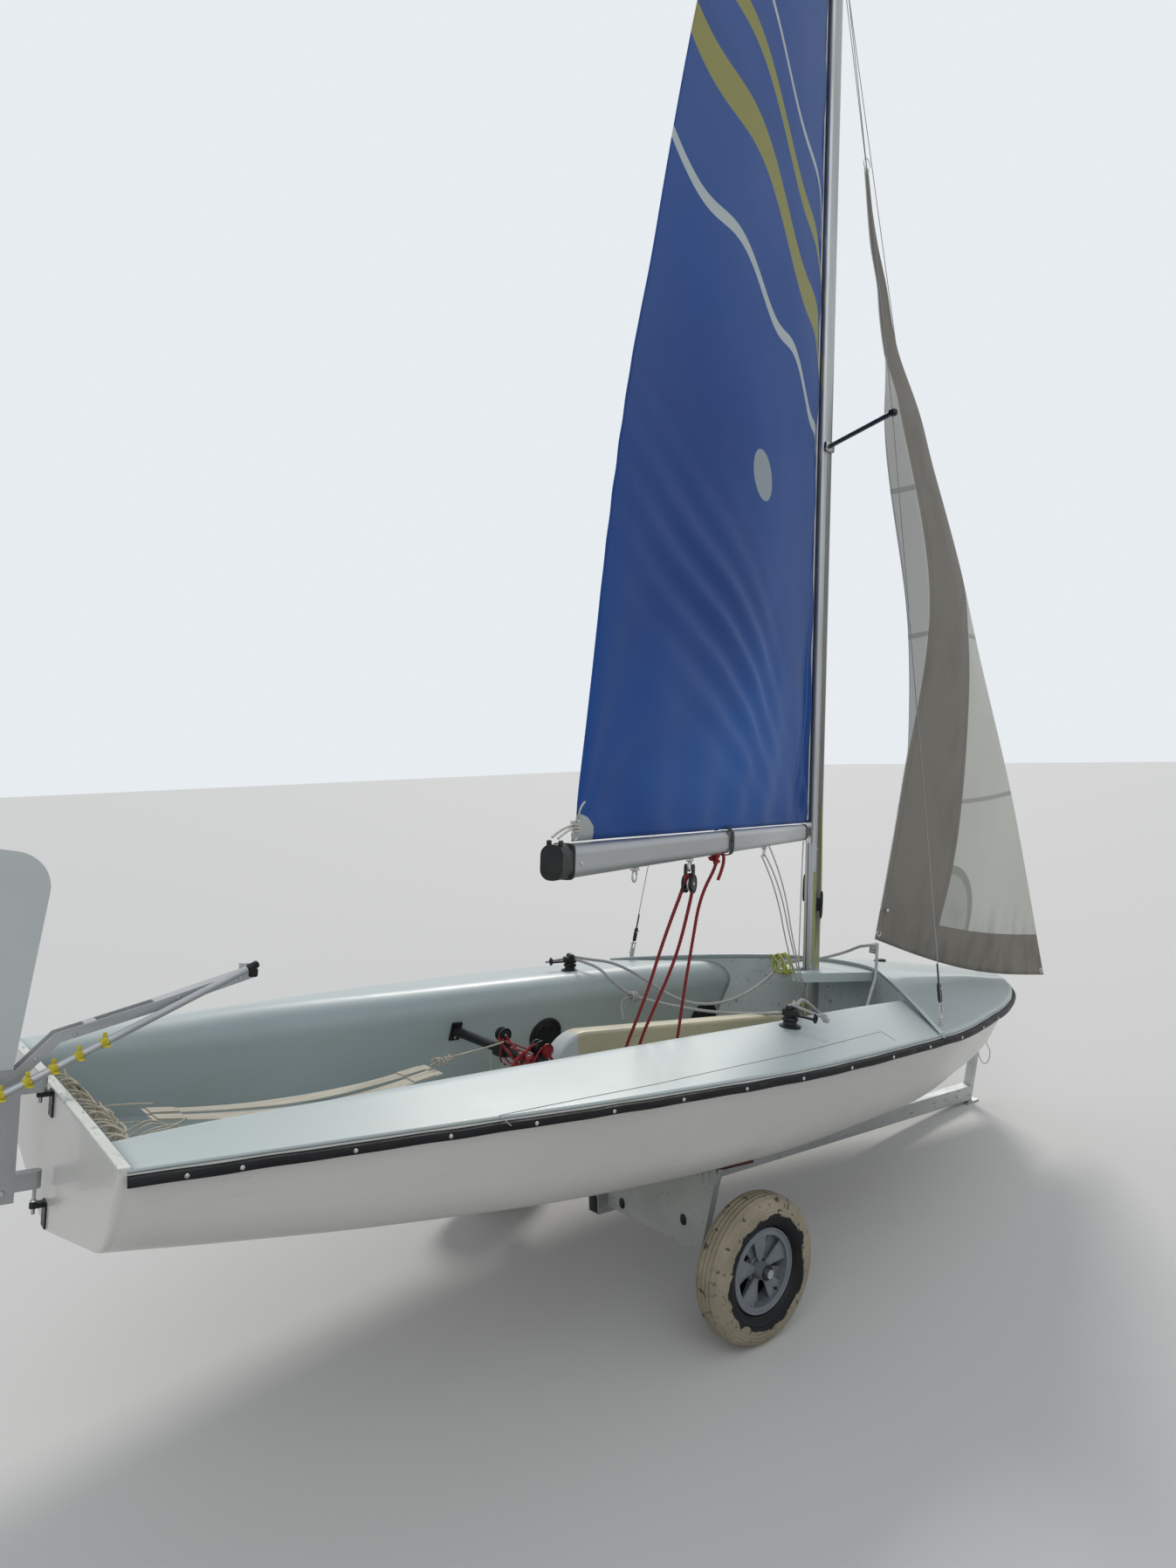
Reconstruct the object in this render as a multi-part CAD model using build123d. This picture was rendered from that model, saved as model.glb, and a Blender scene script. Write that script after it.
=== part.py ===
"""Two-handed sailing dinghy of 4.06 m, rigged and standing bow-down on its launching trolley.

The boat is drawn in its own frame: X forward from the transom, Y to port, Z up from the
baseline. `aboard` then sets it on the level trolley. The finished frame has X to the bow, Y to
port, Z up and its origin on the ground, under the bow post's foot. Millimetres throughout.
"""
from build123d import *
import math
import os
from collections import namedtuple

# Boat on trolley
bow_down = 5.9
transom_base_height = 516.0
foot_from_transom = 3881.0
fit_gap = 0.3

# Hull shell: one row for each section, from the transom to the stem
Station = namedtuple("Station", "x beam sheer keel bilge_y bilge_z radius")
hull_table = [
    Station(0, 595, 427, 116, 529, 250, 150),
    Station(250, 641, 436, 94, 560, 226, 170),
    Station(600, 705, 449, 64, 602, 200, 190),
    Station(1200, 790, 466, 16, 655, 175, 230),
    Station(1800, 838, 483, -11, 690, 186, 260),
    Station(2400, 815, 502, -18, 684, 236, 260),
    Station(2900, 694, 512, 7, 560, 268, 215),
    Station(3350, 509, 512, 44, 402, 286, 160),
    Station(3700, 291, 505, 88, 216, 297, 130),
    Station(3900, 140, 496, 138, 110, 305, 150),
    Station(4000, 56, 490, 205, 47, 340, 200),
    Station(4036, 24, 487, 280, 19, 379, 60),
    Station(4048, 9, 486, 335, 7, 411, 20),
]
hull_wall = 8.0
transom_thickness = 14.0
transom_crown = 8.0
cap_width = 22.0
cap_overhang = 2.0
cap_thickness = 5.0

# Rolled side tanks: the corner's height is over the gunwale's, the foot stands on the hull
Tank = namedtuple("Tank", "x corner_y rise foot_y roll")
tank_table = [
    Tank(0, 405, 8, 455, 30),
    Tank(250, 410, 42, 475, 60),
    Tank(600, 415, 58, 500, 80),
    Tank(1200, 405, 50, 520, 80),
    Tank(1800, 410, 46, 520, 80),
    Tank(2400, 392, 38, 505, 80),
    Tank(2900, 392, 22, 470, 70),
]
tank_wall = 8.0
tank_foot_dip = 6.0

# Foredeck, with the arched coaming and the bulkhead under it
deck_wall = 8.0
deck_from_x = 1800.0
hold_to_x = 3350.0
deck_crown = 73.0
deck_crown_beam = 705.0
coaming_apex_x = 3060.0
coaming_half_angle = 49.3
coaming_radius = 300.0
bulkhead_wall = 8.0

# Shelf that holds the mast at deck height
partner_top = 575.0
partner_thickness = 35.0
partner_aft_x = 2575.0
partner_aft_width = 150.0
partner_front_x = 2905.0
partner_front_width = 330.0
partner_corner = 25.0

# Rub rail
rail_height = 22.0
rail_over_sheer = -2.0
rail_thickness = 14.0

# Centreboard case
case_aft_x = 1400.0
case_front_x = 2560.0
case_aft_top = 442.0
case_front_top = 413.0
case_width = 72.0
case_wall = 8.0

# Mast, along its own axis from the heel
mast_length = 6200.0
mast_rake = 1.85
mast_axis_x = 2722.0
mast_axis_z = 552.0
mast_heel_z = 36.0
mast_fore_aft = 68.0
mast_athwart = 54.0
mast_corner = 24.0
mast_wall = 3.0
mast_top_wall = 10.0
groove_radius = 6.0
groove_slit = 4.0
groove_depth = 10.0
step_length = 110.0
step_width = 84.0
step_lip = 14.0
step_rim = 6.0

# Spreaders and standing wires, with heights up the mast from its heel
spreader_height = 2634.0
spreader_length = 440.0
spreader_sweep = 17.5
spreader_radius = 9.0
spreader_notch = 5.0
hounds_height = 4716.0
halyard_height = 4660.0
wire_radius = 1.6

# Chainplates and stem fitting
chain_x = 2436.0
chain_y = 766.0
chain_width = 22.0
chain_thickness = 3.0
chain_height = 62.0
stem_x = 3990.0
stem_base_length = 54.0
stem_base_width = 24.0
stem_base_thickness = 4.0
stem_tang_height = 40.0
stem_tang_length = 44.0
stem_tang_thickness = 4.0
painter_hole_radius = 5.0
strop_radius = 2.5

# Gooseneck and boom
gooseneck_height = 1090.0
hinge_from_mast = 52.0
pin_radius = 4.0
pin_clearance = 0.05
ear_radius = 9.0
ear_thickness = 6.0
ear_spacing = 26.0
ear_plate_height = 90.0
ear_plate_width = 32.0
ear_plate_thickness = 4.0
tongue_width = 12.0
tongue_height = 20.0
boom_angle = 28.3
boom_start = 75.0
boom_length = 2385.0
boom_height = 66.0
boom_width = 46.0
boom_corner = 20.0
boom_wall = 3.0
boom_cap_length = 48.0
boom_block_at = 1543.0
boom_block_size = (34.0, 20.0, 64.0)

# Mainsail in the boom's plane: height over the boom's axis, and distance aft of the hinge
Leech = namedtuple("Leech", "height chord")
main_leech = [
    Leech(40, 2300),
    Leech(1070, 2034),
    Leech(2120, 1659),
    Leech(3000, 1290),
    Leech(4000, 790),
    Leech(4880, 130),
]
main_luff_gap = 14.0
main_thickness = 3.0

# Jib, flying loose to starboard: one row for each seam, from the head down
Seam = namedtuple("Seam", "luff_x luff_y luff_z leech_x leech_y leech_z")
jib_table = [
    Seam(2860, 0, 3913, 2838, 0, 3913),
    Seam(3290, -50, 2820, 2865, -200, 2850),
    Seam(3550, -170, 2010, 2940, -330, 2000),
    Seam(3855, -200, 1325, 2853, -300, 1324),
    Seam(4160, -225, 502, 2800, -245, 720),
]
jib_thickness = 3.0

# Cockpit fittings
cleat_x = 1930.0
cleat_y = 560.0
cleat_radius = 26.0
cleat_height = 44.0
cleat_arm = (86.0, 16.0, 14.0)
hatch_radius = 70.0
hatch_thickness = 10.0
hatch_z = 305.0
hatch_places_x = (1760.0, 2590.0)
traveller_x = 1350.0
traveller_z = 362.0
traveller_radius = 16.5
flange_height = 66.0
flange_width = 40.0
flange_thickness = 8.0
saddle_length = 52.0
saddle_height = 70.0
saddles_y = ((120.0, 190.0), (-80.0, -10.0))
strap_width = 50.0
strap_gap = 14.0
strap_thickness = 3.0
strap_aft_z = 345.0
strap_front_x = 1000.0
strap_front_z = 374.0
strap_cord_radius = 3.0

# Gudgeons and pintles
pintle_x = -40.0
gudgeon_eye_tops = (187.0, 442.0)
gudgeon_eye_height = 12.0
gudgeon_plate_height = 60.0
gudgeon_plate_width = 36.0
gudgeon_plate_thickness = 4.0
pintle_reach = 14.0
arm_bottoms = (222.0, 442.3)
arm_tops = (262.0, 476.0)
arm_radius = 13.0

# Rudder stock, lifting blade, tiller and its extension
stock_front_x = -84.0
stock_web = 12.0
stock_aft_x = -280.0
stock_bottom = 200.0
stock_top = 500.0
stock_cheek = 6.0
blade_thickness = 20.0
blade_side_gap = 0.6
blade_pivot_x = -240.0
blade_pivot_z = 260.0
blade_lean = 7.2
blade_reach = 745.0
blade_root = 75.0
blade_front = 107.5
blade_back = 122.5
blade_pin_radius = 5.0
tiller_path = [(-160, 423), (-106, 477), (-16, 566), (201, 623), (438, 692)]
tiller_bar_depth = 24.0
tiller_bar_thickness = 4.0
tiller_box_x = 195.0
tiller_cut = 600.0
tiller_spacer_x = 40.0
tiller_spacer_length = 26.0
extension_front = (436.0, -36.0, 716.0)
extension_back = (-450.0, -70.0, 312.0)
extension_radius = 9.0
universal_radius = 12.0
universal_link_radius = 6.0
universal_rim = 2.0
universal_from_end = 22.0

# Trolley, in the finished frame
axle_x = -2181.0
axle_z = 210.0
axle_radius = 12.5
axle_half_length = 704.0
axle_collar_radius = 20.0
axle_collar_width = 6.0
wheel_middle_y = 645.0
tyre_radius = 210.0
tyre_width = 100.0
tyre_shoulder = 34.0
bead_radius = 121.0
rim_width = 66.0
rim_wall = 20.0
rim_disc = 12.0
hub_radius = 24.0
hub_length = 90.0
spoke_count = 5
window_inner = 40.0
window_share = 0.46
spine_height = 65.0
spine_width = 50.0
spine_wall = 3.0
spine_aft_x = -2261.0
spine_aft_z = 170.0
spine_front_z = 12.0
post_depth = 25.0
post_width = 38.0
post_lean = 19.0
foot_length = 96.0
foot_width = 76.0
foot_thickness = 8.0
post_length = 385.0
board_thickness = 25.0
board_bottom_z = 190.0
board_bottom_half = 460.0
board_top_half = 554.0
board_top_z = 520.0
pad_thickness = 10.0
pad_length = 90.0
pad_half_width = 630.0
pad_centre_gap = 16.0

aboard = Pos(-foot_from_transom, 0, transom_base_height) * Rot(0, bow_down, 0)
heel_x = mast_axis_x + (mast_axis_z - mast_heel_z) * math.tan(math.radians(mast_rake))
on_mast = Pos(heel_x, 0, mast_heel_z) * Rot(0, -mast_rake, 0)
on_boom = on_mast * Pos(-hinge_from_mast, 0, gooseneck_height) * Rot(0, 0, 180 + boom_angle)
parts = {}


def unit(vector):
    """The vector at length 1."""
    return vector * (1.0 / vector.length)


def corner(before, at, after, radius):
    """Start, middle and end of the arc that rounds the corner `at`."""
    u = unit(before - at)
    v = unit(after - at)
    half = math.acos(max(-1.0, min(1.0, u.dot(v)))) / 2
    start = at + u * (radius / math.tan(half))
    end = at + v * (radius / math.tan(half))
    middle = at + unit(u + v) * (radius / math.sin(half) - radius)
    return start, middle, end


def beam_flip(point):
    """The same point on the other side of the centreplane."""
    return Vector(point.X, -point.Y, point.Z)


def rod(start, end, radius):
    """A round bar between two points."""
    axis = Plane(origin=start, z_dir=end - start)
    return extrude(axis * Circle(radius), (end - start).length)


def box_between(low, high):
    """A box from its lowest to its highest corner."""
    size = [h - l for l, h in zip(low, high)]
    middle = [(h + l) / 2 for l, h in zip(low, high)]
    return Pos(*middle) * Box(*size)


def both_sides(piece):
    """The piece and its mirror image across the centreplane."""
    return [piece, mirror(piece, about=Plane.XZ)]


def thick_path(points, depth):
    """Outline of a bar of even depth along a path of (x, z) points, mitred at its bends."""
    places = [Vector(x, 0, z) for x, z in points]
    runs = [unit(b - a) for a, b in zip(places, places[1:])]
    normals = [Vector(-run.Z, 0, run.X) for run in runs]
    mitres = [normals[0]]
    for before, after in zip(normals, normals[1:]):
        mitres.append((before + after) * (1.0 / (1.0 + before.dot(after))))
    mitres.append(normals[-1])
    upper = [p + m * (depth / 2) for p, m in zip(places, mitres)]
    lower = [p - m * (depth / 2) for p, m in zip(places, mitres)]
    return make_face(Polyline(*upper, *reversed(lower), close=True))


def hull_row(x):
    """The hull's section at any x, between the rows of its table."""
    for low, high in zip(hull_table, hull_table[1:]):
        if low.x <= x <= high.x:
            share = (x - low.x) / (high.x - low.x)
            return Station(*(a + (b - a) * share for a, b in zip(low, high)))
    return hull_table[0] if x < hull_table[0].x else hull_table[-1]


def crown_at(row):
    """Rise of the foredeck's middle over its edge."""
    return deck_crown * min(1.0, (row.beam / deck_crown_beam) ** 2)


def hull_section(row, inset, lift=0.0, crown=0.0):
    """Closed section of the hull, moved inwards by `inset`, its top edge raised by `lift`."""
    keel = Vector(row.x, 0, row.keel)
    bilge = Vector(row.x, row.bilge_y, row.bilge_z)
    gunwale = Vector(row.x, row.beam, row.sheer)
    floor_run = unit(bilge - keel)
    side_run = unit(gunwale - bilge)
    floor_in = Vector(0, -floor_run.Z, floor_run.Y)
    side_in = Vector(0, -side_run.Z, side_run.Y)
    keel = keel + Vector(0, 0, inset / floor_run.Y)
    bilge = bilge + (floor_in + side_in) * (inset / (1.0 + floor_in.dot(side_in)))
    gunwale = gunwale + side_in * inset
    rise = (row.sheer + lift - gunwale.Z) / side_run.Z
    top = gunwale + side_run * rise
    start, middle, end = corner(keel, bilge, top, max(row.radius - inset, 4.0))
    edges = [
        Line(beam_flip(top), beam_flip(end)),
        ThreePointArc(beam_flip(end), beam_flip(middle), beam_flip(start)),
        Line(beam_flip(start), keel),
        Line(keel, start),
        ThreePointArc(start, middle, end),
        Line(end, top),
    ]
    if crown:
        edges.append(ThreePointArc(top, Vector(row.x, 0, top.Z + crown), beam_flip(top)))
    else:
        edges.append(Line(top, beam_flip(top)))
    return Wire(edges)


def hull_solid(inset, lift=0.0):
    """The filled hull. An inset one starts aft of the transom and ends a wall short."""
    rows = list(hull_table)
    if inset > 0:
        rows = [rows[0]._replace(x=-50)] + rows[:-2] + [rows[-2]._replace(x=rows[-2].x - inset)]
    return Solid.make_loft([hull_section(row, inset, lift) for row in rows], ruled=True)


def deck_section(row, under, over):
    """Crowned section of the deck between two heights over its underside."""
    base = row.sheer + fit_gap
    crown = crown_at(row)
    low = Vector(row.x, row.beam, base + under)
    high = Vector(row.x, row.beam, base + over)
    return Wire([
        Line(low, high),
        ThreePointArc(high, Vector(row.x, 0, base + over + crown), beam_flip(high)),
        Line(beam_flip(high), beam_flip(low)),
        ThreePointArc(beam_flip(low), Vector(row.x, 0, base + under + crown), low),
    ])


def deck_solid(under, over):
    """The deck's panel, or any layer under or over it."""
    rows = [row for row in hull_table if row.x >= deck_from_x]
    return Solid.make_loft([deck_section(row, under, over) for row in rows], ruled=True)


def cockpit_zone(outset):
    """Tall prism over the cockpit, ahead to the coaming's arch, moved outwards by `outset`."""
    half = math.radians(coaming_half_angle)
    apex = Vector(coaming_apex_x + outset / math.sin(half), 0, 0)
    aft_x = 1500.0
    side = Vector(aft_x, (apex.X - aft_x) * math.tan(half), 0)
    stern = Vector(-600.0, side.Y, 0)
    start, middle, end = corner(beam_flip(side), apex, side, coaming_radius + outset)
    outline = Wire([
        Line(stern, side),
        Line(side, end),
        ThreePointArc(end, middle, start),
        Line(start, beam_flip(side)),
        Line(beam_flip(side), beam_flip(stern)),
        Line(beam_flip(stern), stern),
    ])
    return Pos(0, 0, -800) * extrude(Face(outline), 2400, dir=(0, 0, 1))


def tank_section(tank, outset, spill):
    """Section of the port tank, filled. `spill` carries it past the gunwale and the hull."""
    row = hull_row(tank.x)
    slope = math.atan2(tank.rise, row.beam - tank.corner_y)
    edge_z = row.sheer + fit_gap + tank_wall / math.cos(slope)
    gunwale = Vector(tank.x, row.beam, edge_z)
    roll = Vector(tank.x, tank.corner_y, edge_z + tank.rise)
    floor_share = tank.foot_y / row.bilge_y
    floor_z = row.keel + (row.bilge_z - row.keel) * floor_share + hull_wall - tank_foot_dip
    foot = Vector(tank.x, tank.foot_y, floor_z)
    top_run = unit(roll - gunwale)
    face_run = unit(foot - roll)
    top_out = Vector(0, top_run.Z, -top_run.Y)
    face_out = Vector(0, face_run.Z, -face_run.Y)
    gunwale = gunwale + top_out * outset - top_run * spill
    foot = foot + face_out * outset + face_run * spill
    roll = roll + (top_out + face_out) * (outset / (1.0 + top_out.dot(face_out)))
    start, middle, end = corner(gunwale, roll, foot, tank.roll + outset)
    low = Vector(tank.x, gunwale.Y, foot.Z)
    return Wire([
        Line(gunwale, start),
        ThreePointArc(start, middle, end),
        Line(end, foot),
        Line(foot, low),
        Line(low, gunwale),
    ])


def tank_solid(outset, spill=0.0):
    """The port tank, filled and moved outwards by `outset`."""
    sections = [tank_section(tank, outset, spill) for tank in tank_table]
    return Solid.make_loft(sections, ruled=True)


def tank_row(x):
    """The tank's section at any x, between the rows of its table."""
    for low, high in zip(tank_table, tank_table[1:]):
        if low.x <= x <= high.x:
            share = (x - low.x) / (high.x - low.x)
            return Tank(*(a + (b - a) * share for a, b in zip(low, high)))
    return tank_table[0] if x < tank_table[0].x else tank_table[-1]


def tank_face_line(x, z):
    """Half width between the tanks' inner faces at a height, and the face's lean there."""
    tank = tank_row(x)
    row = hull_row(x)
    top = row.sheer + fit_gap + tank_wall + tank.rise
    foot = row.keel + (row.bilge_z - row.keel) * tank.foot_y / row.bilge_y
    lean = (tank.foot_y - tank.corner_y) / (top - foot)
    return tank.corner_y + (top - z) * lean, lean


def tank_face(x, z):
    """Point and inward normal of the port tank's inner face at a height."""
    half_width, lean = tank_face_line(x, z)
    taper = (tank_face_line(x + 50, z)[0] - tank_face_line(x - 50, z)[0]) / 100
    return Vector(x, half_width, z), unit(Vector(taper, -1.0, -lean))


# Hull shell
hull_outer = hull_solid(0)
parts["hull_shell"] = hull_outer - hull_solid(hull_wall, 20)
hull_bar = hull_outer - hull_solid(hull_wall + fit_gap, 20)
hull_room = hull_solid(hull_wall + fit_gap)

# Transom, with a crowned top and a capping strip
stern_row = hull_table[0]


def transom_outline(x):
    """Section of the transom, up to the level of the deck's edge."""
    lower = hull_section(stern_row._replace(x=x), 0)
    top = Vector(x, stern_row.beam, stern_row.sheer)
    high = top + Vector(0, 0, fit_gap + deck_wall)
    crown = Vector(x, 0, high.Z + transom_crown)
    upper = Wire([
        Line(top, high),
        ThreePointArc(high, crown, beam_flip(high)),
        Line(beam_flip(high), beam_flip(top)),
        Line(beam_flip(top), top),
    ])
    return lower, upper


transom_aft_x = -fit_gap - transom_thickness
lower_outline, upper_outline = transom_outline(-fit_gap)
transom_face = Face(lower_outline) + Face(upper_outline)
parts["transom"] = extrude(transom_face, transom_thickness, dir=(-1, 0, 0))

cap_rise = stern_row.sheer + fit_gap + deck_wall
cap_low = Vector(0, stern_row.beam, cap_rise + fit_gap)
cap_high = cap_low + Vector(0, 0, cap_thickness)
cap_outline = Wire([
    Line(cap_low, cap_high),
    ThreePointArc(cap_high, Vector(0, 0, cap_high.Z + transom_crown), beam_flip(cap_high)),
    Line(beam_flip(cap_high), beam_flip(cap_low)),
    ThreePointArc(beam_flip(cap_low), Vector(0, 0, cap_low.Z + transom_crown), cap_low),
])
cap_aft_x = transom_aft_x - cap_overhang
transom_cap = extrude(Pos(cap_aft_x, 0, 0) * Face(cap_outline), cap_width, dir=(1, 0, 0))
for tank_fill in both_sides(tank_solid(fit_gap, 3)):
    transom_cap = transom_cap - tank_fill
parts["transom_cap"] = transom_cap

# Side tanks: rolled panels from the gunwale to the floor, cut off at the coaming
tank_skin = tank_solid(0) - tank_solid(-tank_wall, 60) - hull_bar
tank_skin = (tank_skin & cockpit_zone(-fit_gap)).solids().sort_by(SortBy.VOLUME)[-1]
parts["side_tank_port"], parts["side_tank_starboard"] = both_sides(tank_skin)
tank_fills = both_sides(tank_solid(fit_gap))

# Foredeck and the bulkhead that closes the bow under the coaming
parts["foredeck"] = deck_solid(0, deck_wall) - cockpit_zone(0)
hold_rows = [row for row in hull_table if deck_from_x <= row.x <= hold_to_x]
hold = Solid.make_loft(
    [hull_section(row, hull_wall + fit_gap, 0, crown_at(row)) for row in hold_rows], ruled=True)
parts["bulkhead"] = (cockpit_zone(bulkhead_wall) - cockpit_zone(0)) & hold

# Mast: a grooved tube with a closed top
mast_outline = RectangleRounded(mast_fore_aft, mast_athwart, mast_corner)
groove_x = -mast_fore_aft / 2 + groove_depth
groove = Pos(groove_x, 0) * Circle(groove_radius)
slit = Pos(-mast_fore_aft / 2, 0) * Rectangle(2 * groove_depth, groove_slit)
mast_hollow_front = mast_fore_aft / 2 - mast_wall
mast_hollow_back = groove_x + groove_radius + mast_wall
mast_hollow_width = mast_athwart - 2 * mast_wall
mast_hollow = RectangleRounded(
    mast_hollow_front - mast_hollow_back, mast_hollow_width, mast_corner - 2 * mast_wall)
mast_hollow = Pos((mast_hollow_front + mast_hollow_back) / 2, 0) * mast_hollow
mast = extrude(mast_outline - groove - slit, mast_length)
mast = mast - extrude(mast_hollow, mast_length - mast_top_wall)
parts["mast"] = on_mast * mast
mast_room = on_mast * extrude(
    RectangleRounded(
        mast_fore_aft + 2 * fit_gap, mast_athwart + 2 * fit_gap, mast_corner + fit_gap),
    mast_length)

# Mast step: a block on the keel with a lip round the heel
step_low = (heel_x - step_length / 2, -step_width / 2, hull_row(heel_x).keel - 20)
step_high = (heel_x + step_length / 2, step_width / 2, mast_heel_z + step_lip)
step_block = box_between(step_low, step_high) & hull_room
step_pocket = extrude(
    RectangleRounded(
        mast_fore_aft + 2 * fit_gap, mast_athwart + 2 * fit_gap, mast_corner + fit_gap),
    step_lip + step_rim)
parts["mast_step"] = step_block - on_mast * Pos(0, 0, -fit_gap) * step_pocket

# Partner shelf from the coaming to the mast, slotted from aft
partner_outline = Polyline(
    (partner_aft_x, -partner_aft_width / 2),
    (partner_front_x, -partner_front_width / 2),
    (coaming_apex_x, 0),
    (partner_front_x, partner_front_width / 2),
    (partner_aft_x, partner_aft_width / 2),
    close=True,
)
partner = extrude(make_face(partner_outline), partner_thickness)
partner = Pos(0, 0, partner_top - partner_thickness) * partner
aft_corners = partner.edges().filter_by(Axis.Z).sort_by(Axis.X)[:2]
partner = fillet(aft_corners, partner_corner) & cockpit_zone(-fit_gap)
slot_half = mast_athwart / 2 + fit_gap
partner_slot = box_between(
    (partner_aft_x - 10, -slot_half, partner_top - partner_thickness - 10),
    (mast_axis_x, slot_half, partner_top + 10))
parts["mast_partner"] = partner - partner_slot - mast_room

# Centreboard case: a hollow box on the keel with a rounded aft end
case_length = case_front_x - case_aft_x


def case_plan(shrink):
    """Plan of the case, its aft end round."""
    half = case_width / 2 - shrink
    body = Pos((case_aft_x + case_width / 2 + case_front_x - shrink) / 2, 0) * Rectangle(
        case_front_x - shrink - case_aft_x - case_width / 2, 2 * half)
    return body + Pos(case_aft_x + case_width / 2, 0) * Circle(half)


case_slope = math.degrees(math.atan2(case_aft_top - case_front_top, case_length))
case_lid = Pos(case_aft_x, 0, case_aft_top) * Rot(0, case_slope, 0)
case_cut = case_lid * box_between((-200, -200, 0), (case_length + 200, 200, 300))
case_floor = case_lid * box_between(
    (-200, -200, -case_wall), (case_length + 200, 200, 300))
case_block = Pos(0, 0, -100) * extrude(case_plan(0), 800) - case_cut
case_void = Pos(0, 0, -100) * extrude(case_plan(case_wall), 800) - case_floor
parts["centreboard_case"] = (case_block & hull_room) - case_void

# Rub rails: a rubber strip along each gunwale, round to the stem
gap_at_stem = fit_gap / 2


def rail_line(drop):
    """Gunwale points for the rail, at a height under the sheer."""
    line = []
    for row in hull_table:
        share = drop / (row.sheer - row.bilge_z)
        side_y = row.beam - (row.beam - row.bilge_y) * share
        line.append(Vector(row.x, side_y, row.sheer - drop))
    line.append(Vector(line[-1].X, gap_at_stem, line[-1].Z))
    return line


def outward(line, distance):
    """The line moved outwards in plan, mitred at each point and square at its ends."""
    runs = [unit(Vector(b.X - a.X, b.Y - a.Y, 0)) for a, b in zip(line, line[1:])]
    normals = [Vector(-run.Y, run.X, 0) for run in runs]
    mitres = [Vector(0, 1.0 / normals[0].Y, 0)]
    for before, after in zip(normals, normals[1:]):
        mitres.append((before + after) * (1.0 / (1.0 + before.dot(after))))
    mitres.append(Vector(1, 0, 0))
    return [p + m * distance for p, m in zip(line, mitres)]


rail_low = rail_line(rail_height - rail_over_sheer)
rail_high = rail_line(-rail_over_sheer)
rail_corners = zip(
    outward(rail_low, fit_gap),
    outward(rail_high, fit_gap),
    outward(rail_high, fit_gap + rail_thickness),
    outward(rail_low, fit_gap + rail_thickness),
)
rail_wires = [Wire(Polyline(*four, close=True).edges()) for four in rail_corners]
rail = Solid.make_loft(rail_wires, ruled=True)
parts["rub_rail_port"], parts["rub_rail_starboard"] = both_sides(rail)

# Spreaders, swept aft from the mast's sides
spreader_root = Vector(0, 0, spreader_height)
sweep = math.radians(spreader_sweep)
spreader_run = Vector(-math.sin(sweep), math.cos(sweep), 0)
spreader_tip = spreader_root + spreader_run * spreader_length
spreader = on_mast * rod(spreader_root, spreader_tip, spreader_radius) - mast_room

# Chainplates, standing on the deck by the coaming's ends
deck_cover = deck_solid(-60, deck_wall + fit_gap)
chain_base_z = hull_row(chain_x).sheer
chain_top_z = chain_base_z + chain_height
chainplate = box_between(
    (chain_x - chain_width / 2, chain_y - chain_thickness / 2, chain_base_z - 10),
    (chain_x + chain_width / 2, chain_y + chain_thickness / 2, chain_top_z))
parts["chainplates"] = Compound(both_sides(chainplate - deck_cover))

# Shrouds, over the notched tips of the spreaders
side_seat = mast_athwart / 2 + fit_gap + wire_radius
shroud_top = (on_mast * Pos(0, side_seat, hounds_height)).position
tip_seat = spreader_tip - spreader_run * spreader_notch
shroud_bend = (on_mast * Pos(*tip_seat)).position
shroud_foot = Vector(chain_x, chain_y, chain_top_z + 2 * fit_gap)


def shroud_wire(radius):
    """The port shroud, or the room it needs in a spreader's tip."""
    bend = Pos(*shroud_bend) * Sphere(radius)
    return rod(shroud_top, shroud_bend, radius) + bend + rod(shroud_bend, shroud_foot, radius)


parts["shrouds"] = Compound(both_sides(shroud_wire(wire_radius)))
notch_out = shroud_bend + ((on_mast * Pos(*(tip_seat + spreader_run * 20))).position - shroud_bend)
notch = rod(shroud_bend, notch_out, wire_radius + fit_gap)
spreader = spreader - shroud_wire(wire_radius + fit_gap) - notch
parts["spreaders"] = Compound(both_sides(spreader.solids().sort_by(SortBy.VOLUME)[-1]))

# Stem fitting, on the deck at the bow, with the strop that holds the jib's tack
stem_row = hull_row(stem_x - stem_base_length / 2)
stem_deck_z = stem_row.sheer + crown_at(stem_row) + deck_wall
stem_base_top = stem_deck_z + fit_gap + stem_base_thickness
stem_base = box_between(
    (stem_x - stem_base_length / 2, -stem_base_width / 2, stem_deck_z - 20),
    (stem_x + stem_base_length / 2, stem_base_width / 2, stem_base_top))
tang_top = stem_base_top + stem_tang_height
stem_tang = box_between(
    (stem_x - stem_tang_length / 2, -stem_tang_thickness / 2, stem_base_top - 1),
    (stem_x + stem_tang_length / 2, stem_tang_thickness / 2, tang_top))
painter_x = stem_x + stem_tang_length / 4
painter_z = stem_base_top + stem_tang_height / 3
painter_hole = rod(
    Vector(painter_x, -30, painter_z), Vector(painter_x, 30, painter_z), painter_hole_radius)
strop_start = Vector(stem_x, 0, tang_top - 10)
tack = Vector(jib_table[-1].luff_x, jib_table[-1].luff_y, jib_table[-1].luff_z)
strop_end = tack + Vector(-14, 6, 6)
strop = rod(strop_start, strop_end, strop_radius)
parts["stem_fitting"] = (stem_base - deck_cover) + (stem_tang - painter_hole) + strop

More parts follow.
